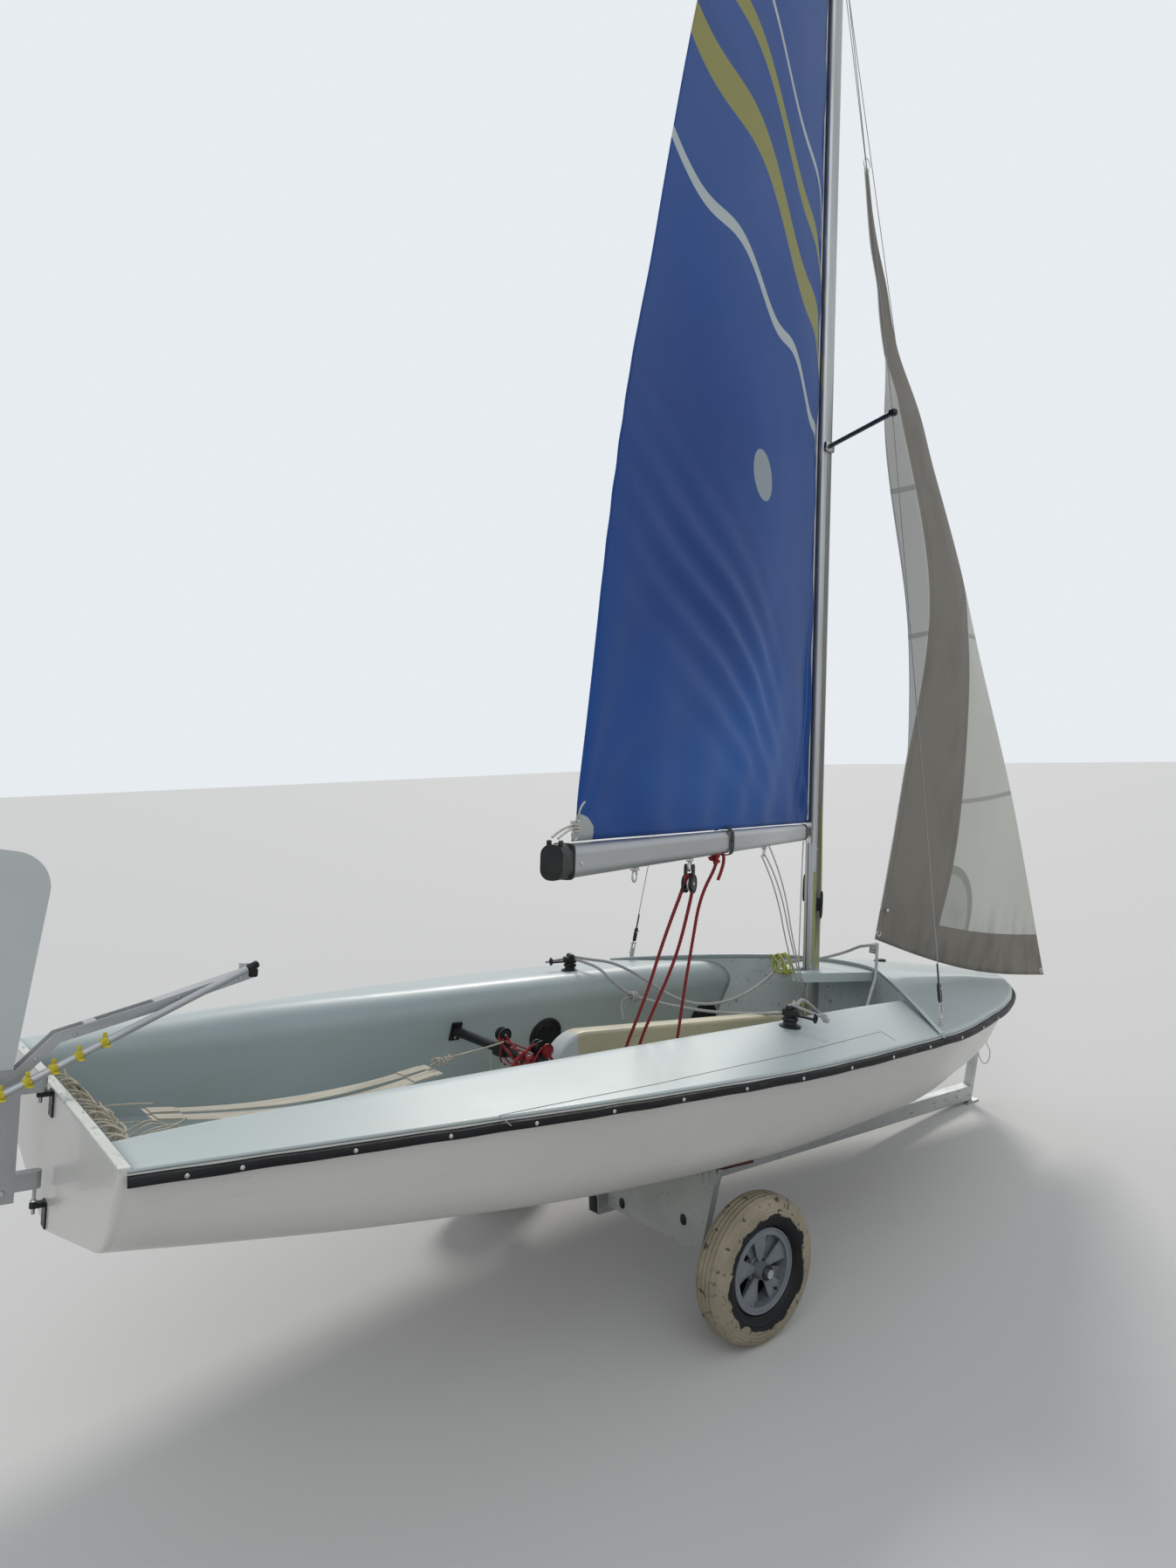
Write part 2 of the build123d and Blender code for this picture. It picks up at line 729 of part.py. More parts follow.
# Forestay and the jib's halyard
front_seat = mast_fore_aft / 2 + fit_gap + wire_radius
forestay_top = (on_mast * Pos(front_seat, 0, hounds_height)).position
forestay_foot = Vector(stem_x - stem_tang_length / 4, 0, tang_top + 2 * fit_gap)
halyard_top = (on_mast * Pos(front_seat, 0, halyard_height)).position
jib_head = Vector(
    (jib_table[0].luff_x + jib_table[0].leech_x) / 2, 0, jib_table[0].luff_z + 2 * fit_gap)
parts["forestay"] = Compound([
    rod(forestay_top, forestay_foot, wire_radius),
    rod(halyard_top, jib_head, wire_radius),
])

# Jib, a thin panel through its seams
def seam_wire(seam):
    """Thin section of the jib along one seam."""
    luff = Vector(seam.luff_x, seam.luff_y, seam.luff_z)
    leech = Vector(seam.leech_x, seam.leech_y, seam.leech_z)
    run = unit(leech - luff)
    across = unit(Vector(-run.Y, run.X, 0)) * (jib_thickness / 2)
    return Wire(Polyline(luff + across, leech + across, leech - across, luff - across,
                         close=True).edges())


jib = Solid.make_loft([seam_wire(seam) for seam in jib_table], ruled=True)
parts["jib"] = jib - rod(strop_start, strop_end, strop_radius + fit_gap)

# Gooseneck: two ears on the mast with the hinge pin through them
ear_face = -mast_fore_aft / 2 - fit_gap
ear_plate = box_between(
    (ear_face - ear_plate_thickness, -ear_plate_width / 2, -ear_plate_height / 2),
    (ear_face, ear_plate_width / 2, ear_plate_height / 2))
ear_plan = Circle(ear_radius) + Pos((hinge_from_mast + ear_face) / 2, 0) * Rectangle(
    hinge_from_mast + ear_face, 2 * ear_radius)
ear_base = Pos(-hinge_from_mast, 0, ear_spacing / 2) * extrude(ear_plan, ear_thickness)
other_ear = Pos(-hinge_from_mast, 0, -ear_spacing / 2 - ear_thickness) * extrude(
    ear_plan, ear_thickness)
pin_half = ear_spacing / 2 + ear_thickness + 4
hinge_pin = Pos(-hinge_from_mast, 0, -pin_half) * extrude(Circle(pin_radius), 2 * pin_half)
gooseneck = ear_plate + ear_base + other_ear + hinge_pin
parts["gooseneck"] = on_mast * Pos(0, 0, gooseneck_height) * gooseneck

# Boom, its caps, the tongue on the hinge pin and the block under it
boom_end = boom_length - boom_cap_length - fit_gap
boom_front = boom_start + boom_cap_length + fit_gap
boom_outline = RectangleRounded(boom_width, boom_height, boom_corner)
boom_core = RectangleRounded(
    boom_width - 2 * boom_wall, boom_height - 2 * boom_wall, boom_corner - boom_wall)
along_boom = Plane(origin=(0, 0, 0), x_dir=(0, 1, 0), z_dir=(1, 0, 0))
boom = extrude(along_boom * (boom_outline - boom_core), boom_end - boom_front)
parts["boom"] = on_boom * Pos(boom_front, 0, 0) * boom
boom_cap = extrude(along_boom * boom_outline, boom_cap_length)
parts["boom_caps"] = Compound([
    on_boom * Pos(boom_start, 0, 0) * boom_cap,
    on_boom * Pos(boom_end + fit_gap, 0, 0) * boom_cap,
])
barrel_height = ear_spacing - 2 * fit_gap
tongue_bar = box_between(
    (0, -tongue_width / 2, -tongue_height / 2),
    (boom_start - fit_gap, tongue_width / 2, tongue_height / 2))
barrel = Pos(0, 0, -barrel_height / 2) * extrude(Circle(ear_radius), barrel_height)
pin_bore = Pos(0, 0, -40) * extrude(Circle(pin_radius + pin_clearance), 80)
parts["boom_tongue"] = on_boom * (tongue_bar + barrel - pin_bore)
block_length, block_width, block_drop = boom_block_size
boom_bottom = -boom_height / 2 - fit_gap
boom_block = box_between(
    (boom_block_at - block_length / 2, -block_width / 2, boom_bottom - block_drop),
    (boom_block_at + block_length / 2, block_width / 2, boom_bottom))
parts["boom_block"] = on_boom * fillet(boom_block.edges().filter_by(Axis.Y), 8)

# Mainsail, standing on the boom
sail_foot = boom_height / 2 + fit_gap
leech_points = [Vector(row.chord, 0, row.height) for row in main_leech]
luff_low = Vector(main_luff_gap, 0, sail_foot)
luff_high = Vector(main_luff_gap, 0, main_leech[-1].height)
clew = Vector(main_leech[0].chord, 0, sail_foot)
sail_outline = make_face(Polyline(luff_low, clew, *leech_points, luff_high, close=True))
mainsail = extrude(sail_outline, main_thickness / 2, dir=(0, 1, 0), both=True)
parts["mainsail"] = on_boom * mainsail

# Jib cleats on the tanks' tops
cleat_row = hull_row(cleat_x)
cleat_base_z = cleat_row.sheer
cleat_base = Pos(cleat_x, cleat_y, cleat_base_z) * extrude(Circle(cleat_radius), 96)
arm_length, arm_width, arm_height = cleat_arm
cleat_arm_box = Pos(cleat_x, cleat_y, cleat_base_z + 70) * Rot(0, 0, 205) * box_between(
    (0, -arm_width / 2, -arm_height / 2), (arm_length, arm_width / 2, arm_height / 2))
cleats = []
for tank_fill, cleat in zip(tank_fills, both_sides(cleat_base + cleat_arm_box)):
    cleats.append(cleat - tank_fill)
parts["jib_cleats"] = Compound(cleats)

# Round hatches in the tanks' inner faces
hatches = []
for hatch_x in hatch_places_x:
    place, normal = tank_face(hatch_x, hatch_z)
    seat = Plane(origin=place - normal * hatch_thickness, z_dir=normal)
    disc = extrude(seat * Circle(hatch_radius), 2 * hatch_thickness) - tank_fills[0]
    hatches += both_sides(disc)
parts["hatch_covers"] = Compound(hatches)

# Traveller tube across the cockpit, with a flange on each tank
flange_place, flange_normal = tank_face(traveller_x, traveller_z)
flange_seat = Plane(
    origin=flange_place - flange_normal * flange_thickness, x_dir=(1, 0, 0), z_dir=flange_normal)
flange = extrude(flange_seat * Rectangle(flange_width, flange_height), 2 * flange_thickness)
tube_half = flange_place.Y
tube = rod(
    Vector(traveller_x, -tube_half, traveller_z),
    Vector(traveller_x, tube_half, traveller_z), traveller_radius)
traveller = tube
for side_flange in both_sides(flange):
    traveller = traveller + side_flange
for tank_fill in tank_fills:
    traveller = traveller - tank_fill
parts["traveller_tube"] = traveller

# Clamps on the traveller tube that carry the mainsheet's blocks
tube_room = rod(
    Vector(traveller_x, -tube_half, traveller_z),
    Vector(traveller_x, tube_half, traveller_z), traveller_radius + fit_gap)
saddles = []
for low_y, high_y in saddles_y:
    saddle = box_between(
        (traveller_x - saddle_length / 2, low_y, traveller_z - traveller_radius - 8),
        (traveller_x + saddle_length / 2, high_y, traveller_z - traveller_radius + saddle_height))
    saddles.append(fillet(saddle.edges().filter_by(Axis.Y), 8) - tube_room)
parts["traveller_block"] = Compound(saddles)

# Toe straps from the transom, laced to the traveller
strap_middle = (strap_width + strap_gap) / 2
strap_outline = thick_path([(0, strap_aft_z), (strap_front_x, strap_front_z)], strap_thickness)
strap = extrude(strap_outline, strap_width / 2, dir=(0, 1, 0), both=True)
lacing_end = Vector(traveller_x - saddle_length / 2 - 4, 0, strap_front_z)
loop_bar = rod(
    Vector(strap_front_x - 4, -strap_middle, strap_front_z),
    Vector(strap_front_x - 4, strap_middle, strap_front_z), strap_cord_radius)
lacing = rod(
    Vector(strap_front_x - 4, 0, strap_front_z),
    Vector(traveller_x - traveller_radius - strap_cord_radius, 0, strap_front_z),
    strap_cord_radius) - tube_room
parts["toe_straps"] = (
    Pos(0, strap_middle, 0) * strap + Pos(0, -strap_middle, 0) * strap + loop_bar + lacing)

# Gudgeons on the transom
gudgeons = []
plate_face_x = transom_aft_x - fit_gap
for eye_top in gudgeon_eye_tops:
    plate_top = eye_top
    plate = box_between(
        (plate_face_x - gudgeon_plate_thickness, -gudgeon_plate_width / 2,
         plate_top - gudgeon_plate_height),
        (plate_face_x, gudgeon_plate_width / 2, plate_top))
    eye_plan = Circle(ear_radius) + Pos((plate_face_x - pintle_x) / 2, 0) * Rectangle(
        plate_face_x - pintle_x, 2 * ear_radius)
    eye_plan = eye_plan - Circle(pin_radius + pin_clearance)
    eye = Pos(pintle_x, 0, eye_top - gudgeon_eye_height) * extrude(eye_plan, gudgeon_eye_height)
    gudgeons.append(plate + eye)
parts["gudgeons"] = Compound(gudgeons)

# Rudder stock: two cheeks, a web, the arms to the pintles and the blade's pivot pin
cheek_inner = blade_thickness / 2 + blade_side_gap
cheek_outer = cheek_inner + stock_cheek
stock = box_between(
    (stock_aft_x, -cheek_outer, stock_bottom), (stock_front_x, cheek_outer, stock_top))
stock = stock - box_between(
    (stock_aft_x - 10, -cheek_inner, stock_bottom - 10),
    (stock_front_x - stock_web, cheek_inner, stock_top + 10))
for arm_low, arm_high, eye_top in zip(arm_bottoms, arm_tops, gudgeon_eye_tops):
    stock = stock + box_between(
        (stock_front_x - 1, -arm_radius, arm_low), (pintle_x, arm_radius, arm_high))
    stock = stock + Pos(pintle_x, 0, arm_low) * extrude(Circle(arm_radius), arm_high - arm_low)
    pintle_foot = eye_top - gudgeon_eye_height - pintle_reach
    stock = stock + Pos(pintle_x, 0, pintle_foot) * extrude(
        Circle(pin_radius), arm_low - pintle_foot + 1)
pivot_pin = rod(
    Vector(blade_pivot_x, -cheek_outer, blade_pivot_z),
    Vector(blade_pivot_x, cheek_outer, blade_pivot_z), blade_pin_radius)
parts["rudder_stock"] = stock + pivot_pin

# Lifting blade, swung up and leaning a little forward
blade_plan = make_face(Polyline(
    (-blade_back, -blade_root), (blade_front, -blade_root),
    (blade_front, blade_reach), (-blade_back, blade_reach), close=True))
blade = extrude(blade_plan, blade_thickness / 2, both=True)
root_corners = blade.edges().filter_by(Axis.Z).sort_by(Axis.Y)
blade = fillet(root_corners[:2], 60)
tip_corners = blade.edges().filter_by(Axis.Z).sort_by(Axis.Y)[-2:]
blade = fillet(tip_corners, 85)
blade = blade - extrude(Circle(blade_pin_radius + pin_clearance), blade_thickness, both=True)
blade_place = Pos(blade_pivot_x, 0, blade_pivot_z) * Rot(0, blade_lean, 0) * Rot(90, 0, 0)
parts["rudder_blade"] = blade_place * blade

# Tiller: two bent flat bars that clasp the stock and end in a box
bar_inner = cheek_outer + fit_gap
bar_outline = thick_path(tiller_path, tiller_bar_depth)
bar = Pos(0, bar_inner, 0) * extrude(bar_outline, tiller_bar_thickness, dir=(0, 1, 0))
filling = extrude(bar_outline, bar_inner + 1, dir=(0, 1, 0), both=True)
box_fill = filling & box_between(
    (tiller_box_x, -tiller_cut, 0), (tiller_box_x + tiller_cut, tiller_cut, 2 * tiller_cut))
spacer_fill = filling & box_between(
    (tiller_spacer_x, -tiller_cut, 0),
    (tiller_spacer_x + tiller_spacer_length, tiller_cut, 2 * tiller_cut))
tiller = box_fill + spacer_fill
for side_bar in both_sides(bar):
    tiller = tiller + side_bar
parts["tiller"] = tiller

# Tiller extension with its universal joint, lying back along the starboard side
front = Vector(*extension_front)
back = Vector(*extension_back)
box_top = extrude(
    thick_path(tiller_path, tiller_bar_depth + 2 * fit_gap), 60, dir=(0, 1, 0), both=True)
universal_x = tiller_path[-1][0] - universal_from_end
link_share = (front.X - universal_x) / (front.X - back.X)
link_end = front + (back - front) * link_share
box_end_z = tiller_path[-1][1]
universal = Pos(universal_x, 0, box_end_z) * extrude(
    Circle(universal_radius), link_end.Z - box_end_z + universal_link_radius + universal_rim)
universal = universal - box_top
link = rod(Vector(universal_x, 0, link_end.Z), link_end, universal_link_radius)
parts["tiller_extension"] = universal + link + rod(front, back, extension_radius)

# Trolley spine, with a cross hole for the axle
spine_run_x = -spine_aft_x
spine_slope = (spine_front_z - spine_aft_z) / spine_run_x


def spine_end_x(z):
    """Where the spine meets the bow post's aft face."""
    lean = math.radians(post_lean)
    rise = z - foot_thickness / 2
    return -post_depth / 2 / math.cos(lean) + rise * math.tan(lean) - 2 * fit_gap


def spine_shape(shrink):
    """Side view of the spine, each long side moved in by `shrink`."""
    low_aft = spine_aft_z + shrink
    high_aft = spine_aft_z + spine_height - shrink
    low_front = spine_front_z + shrink
    high_front = spine_front_z + spine_height - shrink
    stretch = 30.0 if shrink else 0.0
    return make_face(Polyline(
        Vector(spine_aft_x - stretch, 0, low_aft - stretch * spine_slope),
        Vector(spine_end_x(low_front) + stretch, 0, low_front + stretch * spine_slope),
        Vector(spine_end_x(high_front) + stretch, 0, high_front + stretch * spine_slope),
        Vector(spine_aft_x - stretch, 0, high_aft - stretch * spine_slope), close=True))


spine = extrude(spine_shape(0), spine_width / 2, dir=(0, 1, 0), both=True)
spine = spine - extrude(
    spine_shape(spine_wall), spine_width / 2 - spine_wall, dir=(0, 1, 0), both=True)
axle_room = rod(
    Vector(axle_x, -800, axle_z), Vector(axle_x, 800, axle_z), axle_radius + fit_gap)
parts["trolley_spine"] = spine - axle_room

# Bow post on its foot, up to the keel
hull_seat = aboard * hull_solid(-fit_gap)
post = Pos(0, 0, foot_thickness / 2) * Rot(0, post_lean, 0) * box_between(
    (-post_depth / 2, -post_width / 2, -post_depth), (post_depth / 2, post_width / 2, post_length))
post = post - box_between((-200, -200, -200), (200, 200, foot_thickness / 2))
foot = box_between(
    (-foot_length / 2, -foot_width / 2, 0), (foot_length / 2, foot_width / 2, foot_thickness))
spine_room = extrude(spine_shape(-fit_gap), spine_width / 2 + fit_gap, dir=(0, 1, 0), both=True)
bow_post = (post - hull_seat) + (foot - spine_room)
parts["bow_post"] = bow_post.solids().sort_by(Axis.Z)[0]

# Cradle board and its pads under the hull
board_front_x = axle_x - axle_radius - fit_gap
board_outline = make_face(Polyline(
    Vector(board_front_x, -board_bottom_half, board_bottom_z),
    Vector(board_front_x, board_bottom_half, board_bottom_z),
    Vector(board_front_x, board_top_half, board_top_z),
    Vector(board_front_x, -board_top_half, board_top_z), close=True))
board = extrude(board_outline, board_thickness, dir=(-1, 0, 0))
pad_under = aboard * hull_solid(-pad_thickness - fit_gap)
board = board - aboard * hull_solid(-pad_thickness - 2 * fit_gap) - spine_room
parts["cradle_board"] = board.solids().sort_by(SortBy.VOLUME)[-1]
pad_middle_x = board_front_x - board_thickness / 2
pad_box = box_between(
    (pad_middle_x - pad_length / 2, pad_centre_gap / 2, board_bottom_z),
    (pad_middle_x + pad_length / 2, pad_half_width, board_top_z + 60))
pad = (pad_box & pad_under) - hull_seat
parts["cradle_pads"] = Compound(both_sides(pad))

# Axle with a collar inside each wheel
wheel_inner_y = wheel_middle_y - hub_length / 2
axle = rod(
    Vector(axle_x, -axle_half_length, axle_z), Vector(axle_x, axle_half_length, axle_z),
    axle_radius)
collar = rod(
    Vector(axle_x, wheel_inner_y - fit_gap - axle_collar_width, axle_z),
    Vector(axle_x, wheel_inner_y - fit_gap, axle_z), axle_collar_radius)
for side_collar in both_sides(collar):
    axle = axle + side_collar
parts["axle"] = axle

# Wheels: a moulded rim with wedge spokes, and a tyre
rim_face = Plane(origin=(axle_x, wheel_middle_y, axle_z), x_dir=(1, 0, 0), z_dir=(0, 1, 0))
rim_outer = bead_radius - fit_gap
rim_inner = rim_outer - rim_wall
rim = extrude(rim_face * (Circle(rim_outer) - Circle(rim_inner)), rim_width / 2, both=True)
rim = rim + extrude(rim_face * Circle(rim_inner + 1), rim_disc / 2, both=True)
rim = rim + extrude(rim_face * Circle(hub_radius), hub_length / 2, both=True)
window_turn = 360.0 / spoke_count * window_share
wedge_reach = 2 * rim_inner
wedge_half = wedge_reach * math.tan(math.radians(window_turn / 2))
wedge = make_face(Polyline((0, 0), (wedge_reach, wedge_half), (wedge_reach, -wedge_half),
                           close=True))
window = (Circle(rim_inner) - Circle(window_inner)) & wedge
for spoke in range(spoke_count):
    turned = Rot(0, 0, 360.0 / spoke_count * spoke) * window
    rim = rim - extrude(rim_face * turned, rim_disc, both=True)
rim = rim - extrude(rim_face * Circle(axle_radius + pin_clearance), hub_length, both=True)
tyre_middle = (bead_radius + tyre_radius) / 2
tyre_plan = Pos(axle_x + tyre_middle, wheel_middle_y) * Rectangle(
    tyre_radius - bead_radius, tyre_width)
tyre_plan = fillet(tyre_plan.vertices(), tyre_shoulder)
tyre_axis = Axis((axle_x, 0, axle_z), (0, 1, 0))
tyre = revolve(Pos(0, 0, axle_z) * tyre_plan, tyre_axis)
parts["rim_port"], parts["rim_starboard"] = both_sides(rim)
parts["tyre_port"], parts["tyre_starboard"] = both_sides(tyre)

# Every piece goes out in the finished frame
trolley_nodes = {
    "trolley_spine", "bow_post", "cradle_board", "cradle_pads", "axle",
    "rim_port", "rim_starboard", "tyre_port", "tyre_starboard",
}
os.makedirs("parts", exist_ok=True)
for name, piece in parts.items():
    placed = piece if name in trolley_nodes else aboard * piece
    export_step(placed, f"parts/{name}.step")

# Hinge places and directions, in metres in the finished frame
mast_up = aboard * on_mast
boat_up = (aboard * Pos(0, 0, 1)).position - aboard.position
places = {
    "boom hinge": (mast_up * Pos(-hinge_from_mast, 0, gooseneck_height)).position,
    "rudder hinge": (aboard * Pos(pintle_x, 0, arm_bottoms[1])).position,
    "blade hinge": (aboard * Pos(blade_pivot_x, 0, blade_pivot_z)).position,
    "painter hole": (aboard * Pos(painter_x, 0, painter_z)).position,
}
for name, place in places.items():
    print(name, [round(c / 1000, 5) for c in place])
print("mast up", (mast_up * Pos(0, 0, 1)).position - mast_up.position, "boat up", boat_up)
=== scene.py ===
"""Sailing dinghy with its sails set, on its launching trolley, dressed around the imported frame."""
import math

import bmesh
import bpy
import numpy as np
from mathutils import Matrix, Vector


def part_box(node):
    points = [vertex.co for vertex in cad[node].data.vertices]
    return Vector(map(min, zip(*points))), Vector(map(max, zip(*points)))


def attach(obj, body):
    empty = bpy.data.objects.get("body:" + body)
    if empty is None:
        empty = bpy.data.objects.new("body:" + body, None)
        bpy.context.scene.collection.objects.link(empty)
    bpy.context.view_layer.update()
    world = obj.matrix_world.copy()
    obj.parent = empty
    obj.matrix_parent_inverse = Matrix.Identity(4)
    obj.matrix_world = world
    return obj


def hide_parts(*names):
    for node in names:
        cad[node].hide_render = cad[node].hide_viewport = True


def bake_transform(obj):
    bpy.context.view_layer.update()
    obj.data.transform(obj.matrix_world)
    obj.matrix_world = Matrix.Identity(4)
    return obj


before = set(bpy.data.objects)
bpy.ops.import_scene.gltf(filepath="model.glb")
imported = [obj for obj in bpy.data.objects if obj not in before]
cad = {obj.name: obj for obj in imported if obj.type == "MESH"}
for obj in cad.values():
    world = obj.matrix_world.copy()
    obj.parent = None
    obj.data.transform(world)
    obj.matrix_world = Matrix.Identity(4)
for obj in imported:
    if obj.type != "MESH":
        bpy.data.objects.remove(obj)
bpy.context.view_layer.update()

# Studio: a plain pale floor under a pale even sky. A broad sun stands low behind the sails, a wider
# and weaker one behind the camera, and the sky fills the shadows.
floor_shade = (0.60, 0.60, 0.59, 1)
floor_rough = 0.85
floor_reach = 60.0
sky_shade = (0.80, 0.84, 0.88, 1)
sky_fill = (0.92, 0.96, 1.0, 1)
sky_fill_strength = 0.60
# name, direction, strength, width in degrees, colour
suns = (
    ("sun_behind", (0.62, 0.55, 0.72), 1.5, 14, (1.0, 0.96, 0.90)),
    ("sun_before", (-0.55, -0.75, 0.85), 0.50, 50, (0.95, 0.98, 1.0)),
)


def look(made, name, value):
    """Sets one input of a material's shader."""
    made.node_tree.nodes["Principled BSDF"].inputs[name].default_value = value


scene = bpy.context.scene
scene.view_settings.view_transform = "Standard"
world = bpy.data.worlds.new("sky")
scene.world = world
world.use_nodes = True
sky = world.node_tree.nodes
fill, seen = sky["Background"], sky.new("ShaderNodeBackground")
fill.inputs["Color"].default_value = sky_fill
fill.inputs["Strength"].default_value = sky_fill_strength
seen.inputs["Color"].default_value = sky_shade
rays = sky.new("ShaderNodeLightPath").outputs
either, any_of = sky.new("ShaderNodeMath"), sky.new("ShaderNodeMath")
either.operation = any_of.operation = "MAXIMUM"
choose = sky.new("ShaderNodeMixShader")
for source, target in (
        (rays["Is Camera Ray"], either.inputs[0]),
        (rays["Is Glossy Ray"], either.inputs[1]),
        (either.outputs[0], any_of.inputs[0]),
        (rays["Is Transmission Ray"], any_of.inputs[1]),
        (any_of.outputs[0], choose.inputs["Fac"]),
        (fill.outputs[0], choose.inputs[1]),
        (seen.outputs[0], choose.inputs[2]),
        (choose.outputs[0], sky["World Output"].inputs["Surface"])):
    world.node_tree.links.new(source, target)

for sun_name, towards, strength, spread, shade in suns:
    lamp = bpy.data.lights.new(sun_name, "SUN")
    lamp.energy = strength
    lamp.angle = math.radians(spread)
    lamp.color = shade
    holder = bpy.data.objects.new(sun_name, lamp)
    holder.rotation_euler = Vector(towards).to_track_quat("Z", "Y").to_euler()
    scene.collection.objects.link(holder)

floor_mesh = bpy.data.meshes.new("floor")
floor_corners = [(floor_reach * x, floor_reach * y, 0) for x, y in ((-1, -1), (1, -1), (1, 1), (-1, 1))]
floor_mesh.from_pydata(floor_corners, [], [(0, 1, 2, 3)])
floor = bpy.data.objects.new("floor", floor_mesh)
scene.collection.objects.link(floor)
floor_finish = bpy.data.materials.new("pale_floor")
floor_finish.use_nodes = True
look(floor_finish, "Base Color", floor_shade)
look(floor_finish, "Roughness", floor_rough)
floor_mesh.materials.append(floor_finish)

# Camera: eye height behind the starboard quarter, looking across the cockpit to the bow. Its place
# and lens come from the picture's own perspective.
camera_place = (-4.3066, -2.6064, 1.7138)
camera_yaw = math.radians(38.504)
camera_pitch = math.radians(1.9625)
camera_roll = math.radians(-1.6261)
camera_lens = 23.149

ahead = Vector((math.sin(camera_yaw) * math.cos(camera_pitch),
                math.cos(camera_yaw) * math.cos(camera_pitch), -math.sin(camera_pitch)))
level = Vector((math.cos(camera_yaw), -math.sin(camera_yaw), 0))
above = level.cross(ahead)
right = level * math.cos(camera_roll) + above * math.sin(camera_roll)
up = above * math.cos(camera_roll) - level * math.sin(camera_roll)
camera_data = bpy.data.cameras.new("camera")
camera_data.lens = camera_lens
camera_data.sensor_width = 36.0
camera_data.clip_end = 200.0
camera = bpy.data.objects.new("camera", camera_data)
camera.matrix_world = Matrix((
    (right.x, up.x, -ahead.x, camera_place[0]),
    (right.y, up.y, -ahead.y, camera_place[1]),
    (right.z, up.z, -ahead.z, camera_place[2]),
    (0, 0, 0, 1)))
scene.collection.objects.link(camera)
scene.camera = camera

# Hull: one moulding of white gelcoat over glass fibre, 8 mm thick, its floor seen in the cockpit. It
# is drawn in the boat's own frame, X forward from the transom, and lies bow-down on its trolley.
bow_down = math.radians(5.9)
transom_base_height = 0.516
foot_from_transom = 3.881
hull_wall = 0.008
hull_length = 4.048
# columns: x, half beam, sheer, keel, bilge half width, bilge height, bilge radius
hull_table = np.array([
    (0, 595, 427, 116, 529, 250, 150),
    (250, 641, 436, 94, 560, 226, 170),
    (600, 705, 449, 64, 602, 200, 190),
    (1200, 790, 466, 16, 655, 175, 230),
    (1800, 838, 483, -11, 690, 186, 260),
    (2400, 815, 502, -18, 684, 236, 260),
    (2900, 694, 512, 7, 560, 268, 215),
    (3350, 509, 512, 44, 402, 286, 160),
    (3700, 291, 505, 88, 216, 297, 130),
    (3900, 140, 496, 138, 110, 305, 150),
    (4000, 56, 490, 205, 47, 340, 200),
    (4036, 24, 487, 280, 19, 379, 60),
    (4048, 9, 486, 335, 7, 411, 20),
]) / 1000


def aboard(points):
    """Boat points in the shared frame: turned bow-down about Y, then moved aft and up."""
    x, y, z = np.moveaxis(np.asarray(points, float), -1, 0)
    c, s = math.cos(bow_down), math.sin(bow_down)
    return np.stack([x * c + z * s - foot_from_transom, y, z * c - x * s + transom_base_height], -1)


def unit(vector):
    """The vector, or each row of them, at length 1."""
    return vector / np.linalg.norm(vector, axis=-1, keepdims=True)


def between_rows(table, x):
    """Every column of a table at any x: cubics whose slope at a row is the harmonic mean of the
    slopes beside it, so nothing overshoots a row."""
    xs, ys = table[:, 0], table[:, 1:]
    width = np.diff(xs)
    rise = np.diff(ys, axis=0) / width[:, None]
    same_way = rise[:-1] * rise[1:] > 0
    with np.errstate(divide="ignore", invalid="ignore"):
        mean = np.where(same_way, 2 / (1 / rise[:-1] + 1 / rise[1:]), 0)
    slope = np.concatenate([rise[:1], mean, rise[-1:]])
    x = np.asarray(x, float)
    k = np.clip(np.searchsorted(xs, x, "right") - 1, 0, len(xs) - 2)
    t = np.clip((x - xs[k]) / width[k], 0, 1)[..., None]
    h = width[k][..., None]
    columns = ((1 + 2 * t) * (1 - t) ** 2 * ys[k] + t * (1 - t) ** 2 * h * slope[k]
               + t * t * (3 - 2 * t) * ys[k + 1] + t * t * (t - 1) * h * slope[k + 1])
    return np.moveaxis(columns, -1, 0)


def rounded_bend(v, first, at, last, radius, shares):
    """Point at v along first-at-last with the corner `at` rounded: v runs straight, round the arc
    and straight again, in the given shares."""
    reach = np.minimum(np.linalg.norm(first - at, axis=-1), np.linalg.norm(last - at, axis=-1))
    u, w = unit(first - at), unit(last - at)
    half = np.arccos(np.clip((u * w).sum(-1), -1, 1)) / 2
    radius = np.minimum(radius, 0.97 * reach * np.tan(half))
    start = at + u * (radius / np.tan(half))[..., None]
    end = at + w * (radius / np.tan(half))[..., None]
    centre = at + unit(u + w) * (radius / np.sin(half))[..., None]
    sweep = np.pi - 2 * half
    a, b = shares
    t = np.clip((v - a) / (b - a), 0, 1)
    arc = (centre + (start - centre) * (np.sin((1 - t) * sweep) / np.sin(sweep))[..., None]
           + (end - centre) * (np.sin(t * sweep) / np.sin(sweep))[..., None])
    before = first + (start - first) * np.clip(v / a, 0, 1)[..., None]
    after = end + (last - end) * np.clip((v - b) / (1 - b), 0, 1)[..., None]
    return np.where((v < a)[..., None], before, np.where((v > b)[..., None], after, arc))


def hull_skin(x, v):
    """Hull at x and v, from -1 at the starboard gunwale over the keel to 1 at the port one: a
    straight floor, a round bilge and a straight side."""
    beam, sheer, keel, bilge_y, bilge_z, radius = between_rows(hull_table, x)
    section = rounded_bend(
        np.abs(v), np.stack([0 * beam, keel], -1), np.stack([bilge_y, bilge_z], -1),
        np.stack([beam, sheer], -1), radius, (0.42, 0.72))
    return np.stack([x, np.sign(v) * section[..., 0], section[..., 1]], -1)


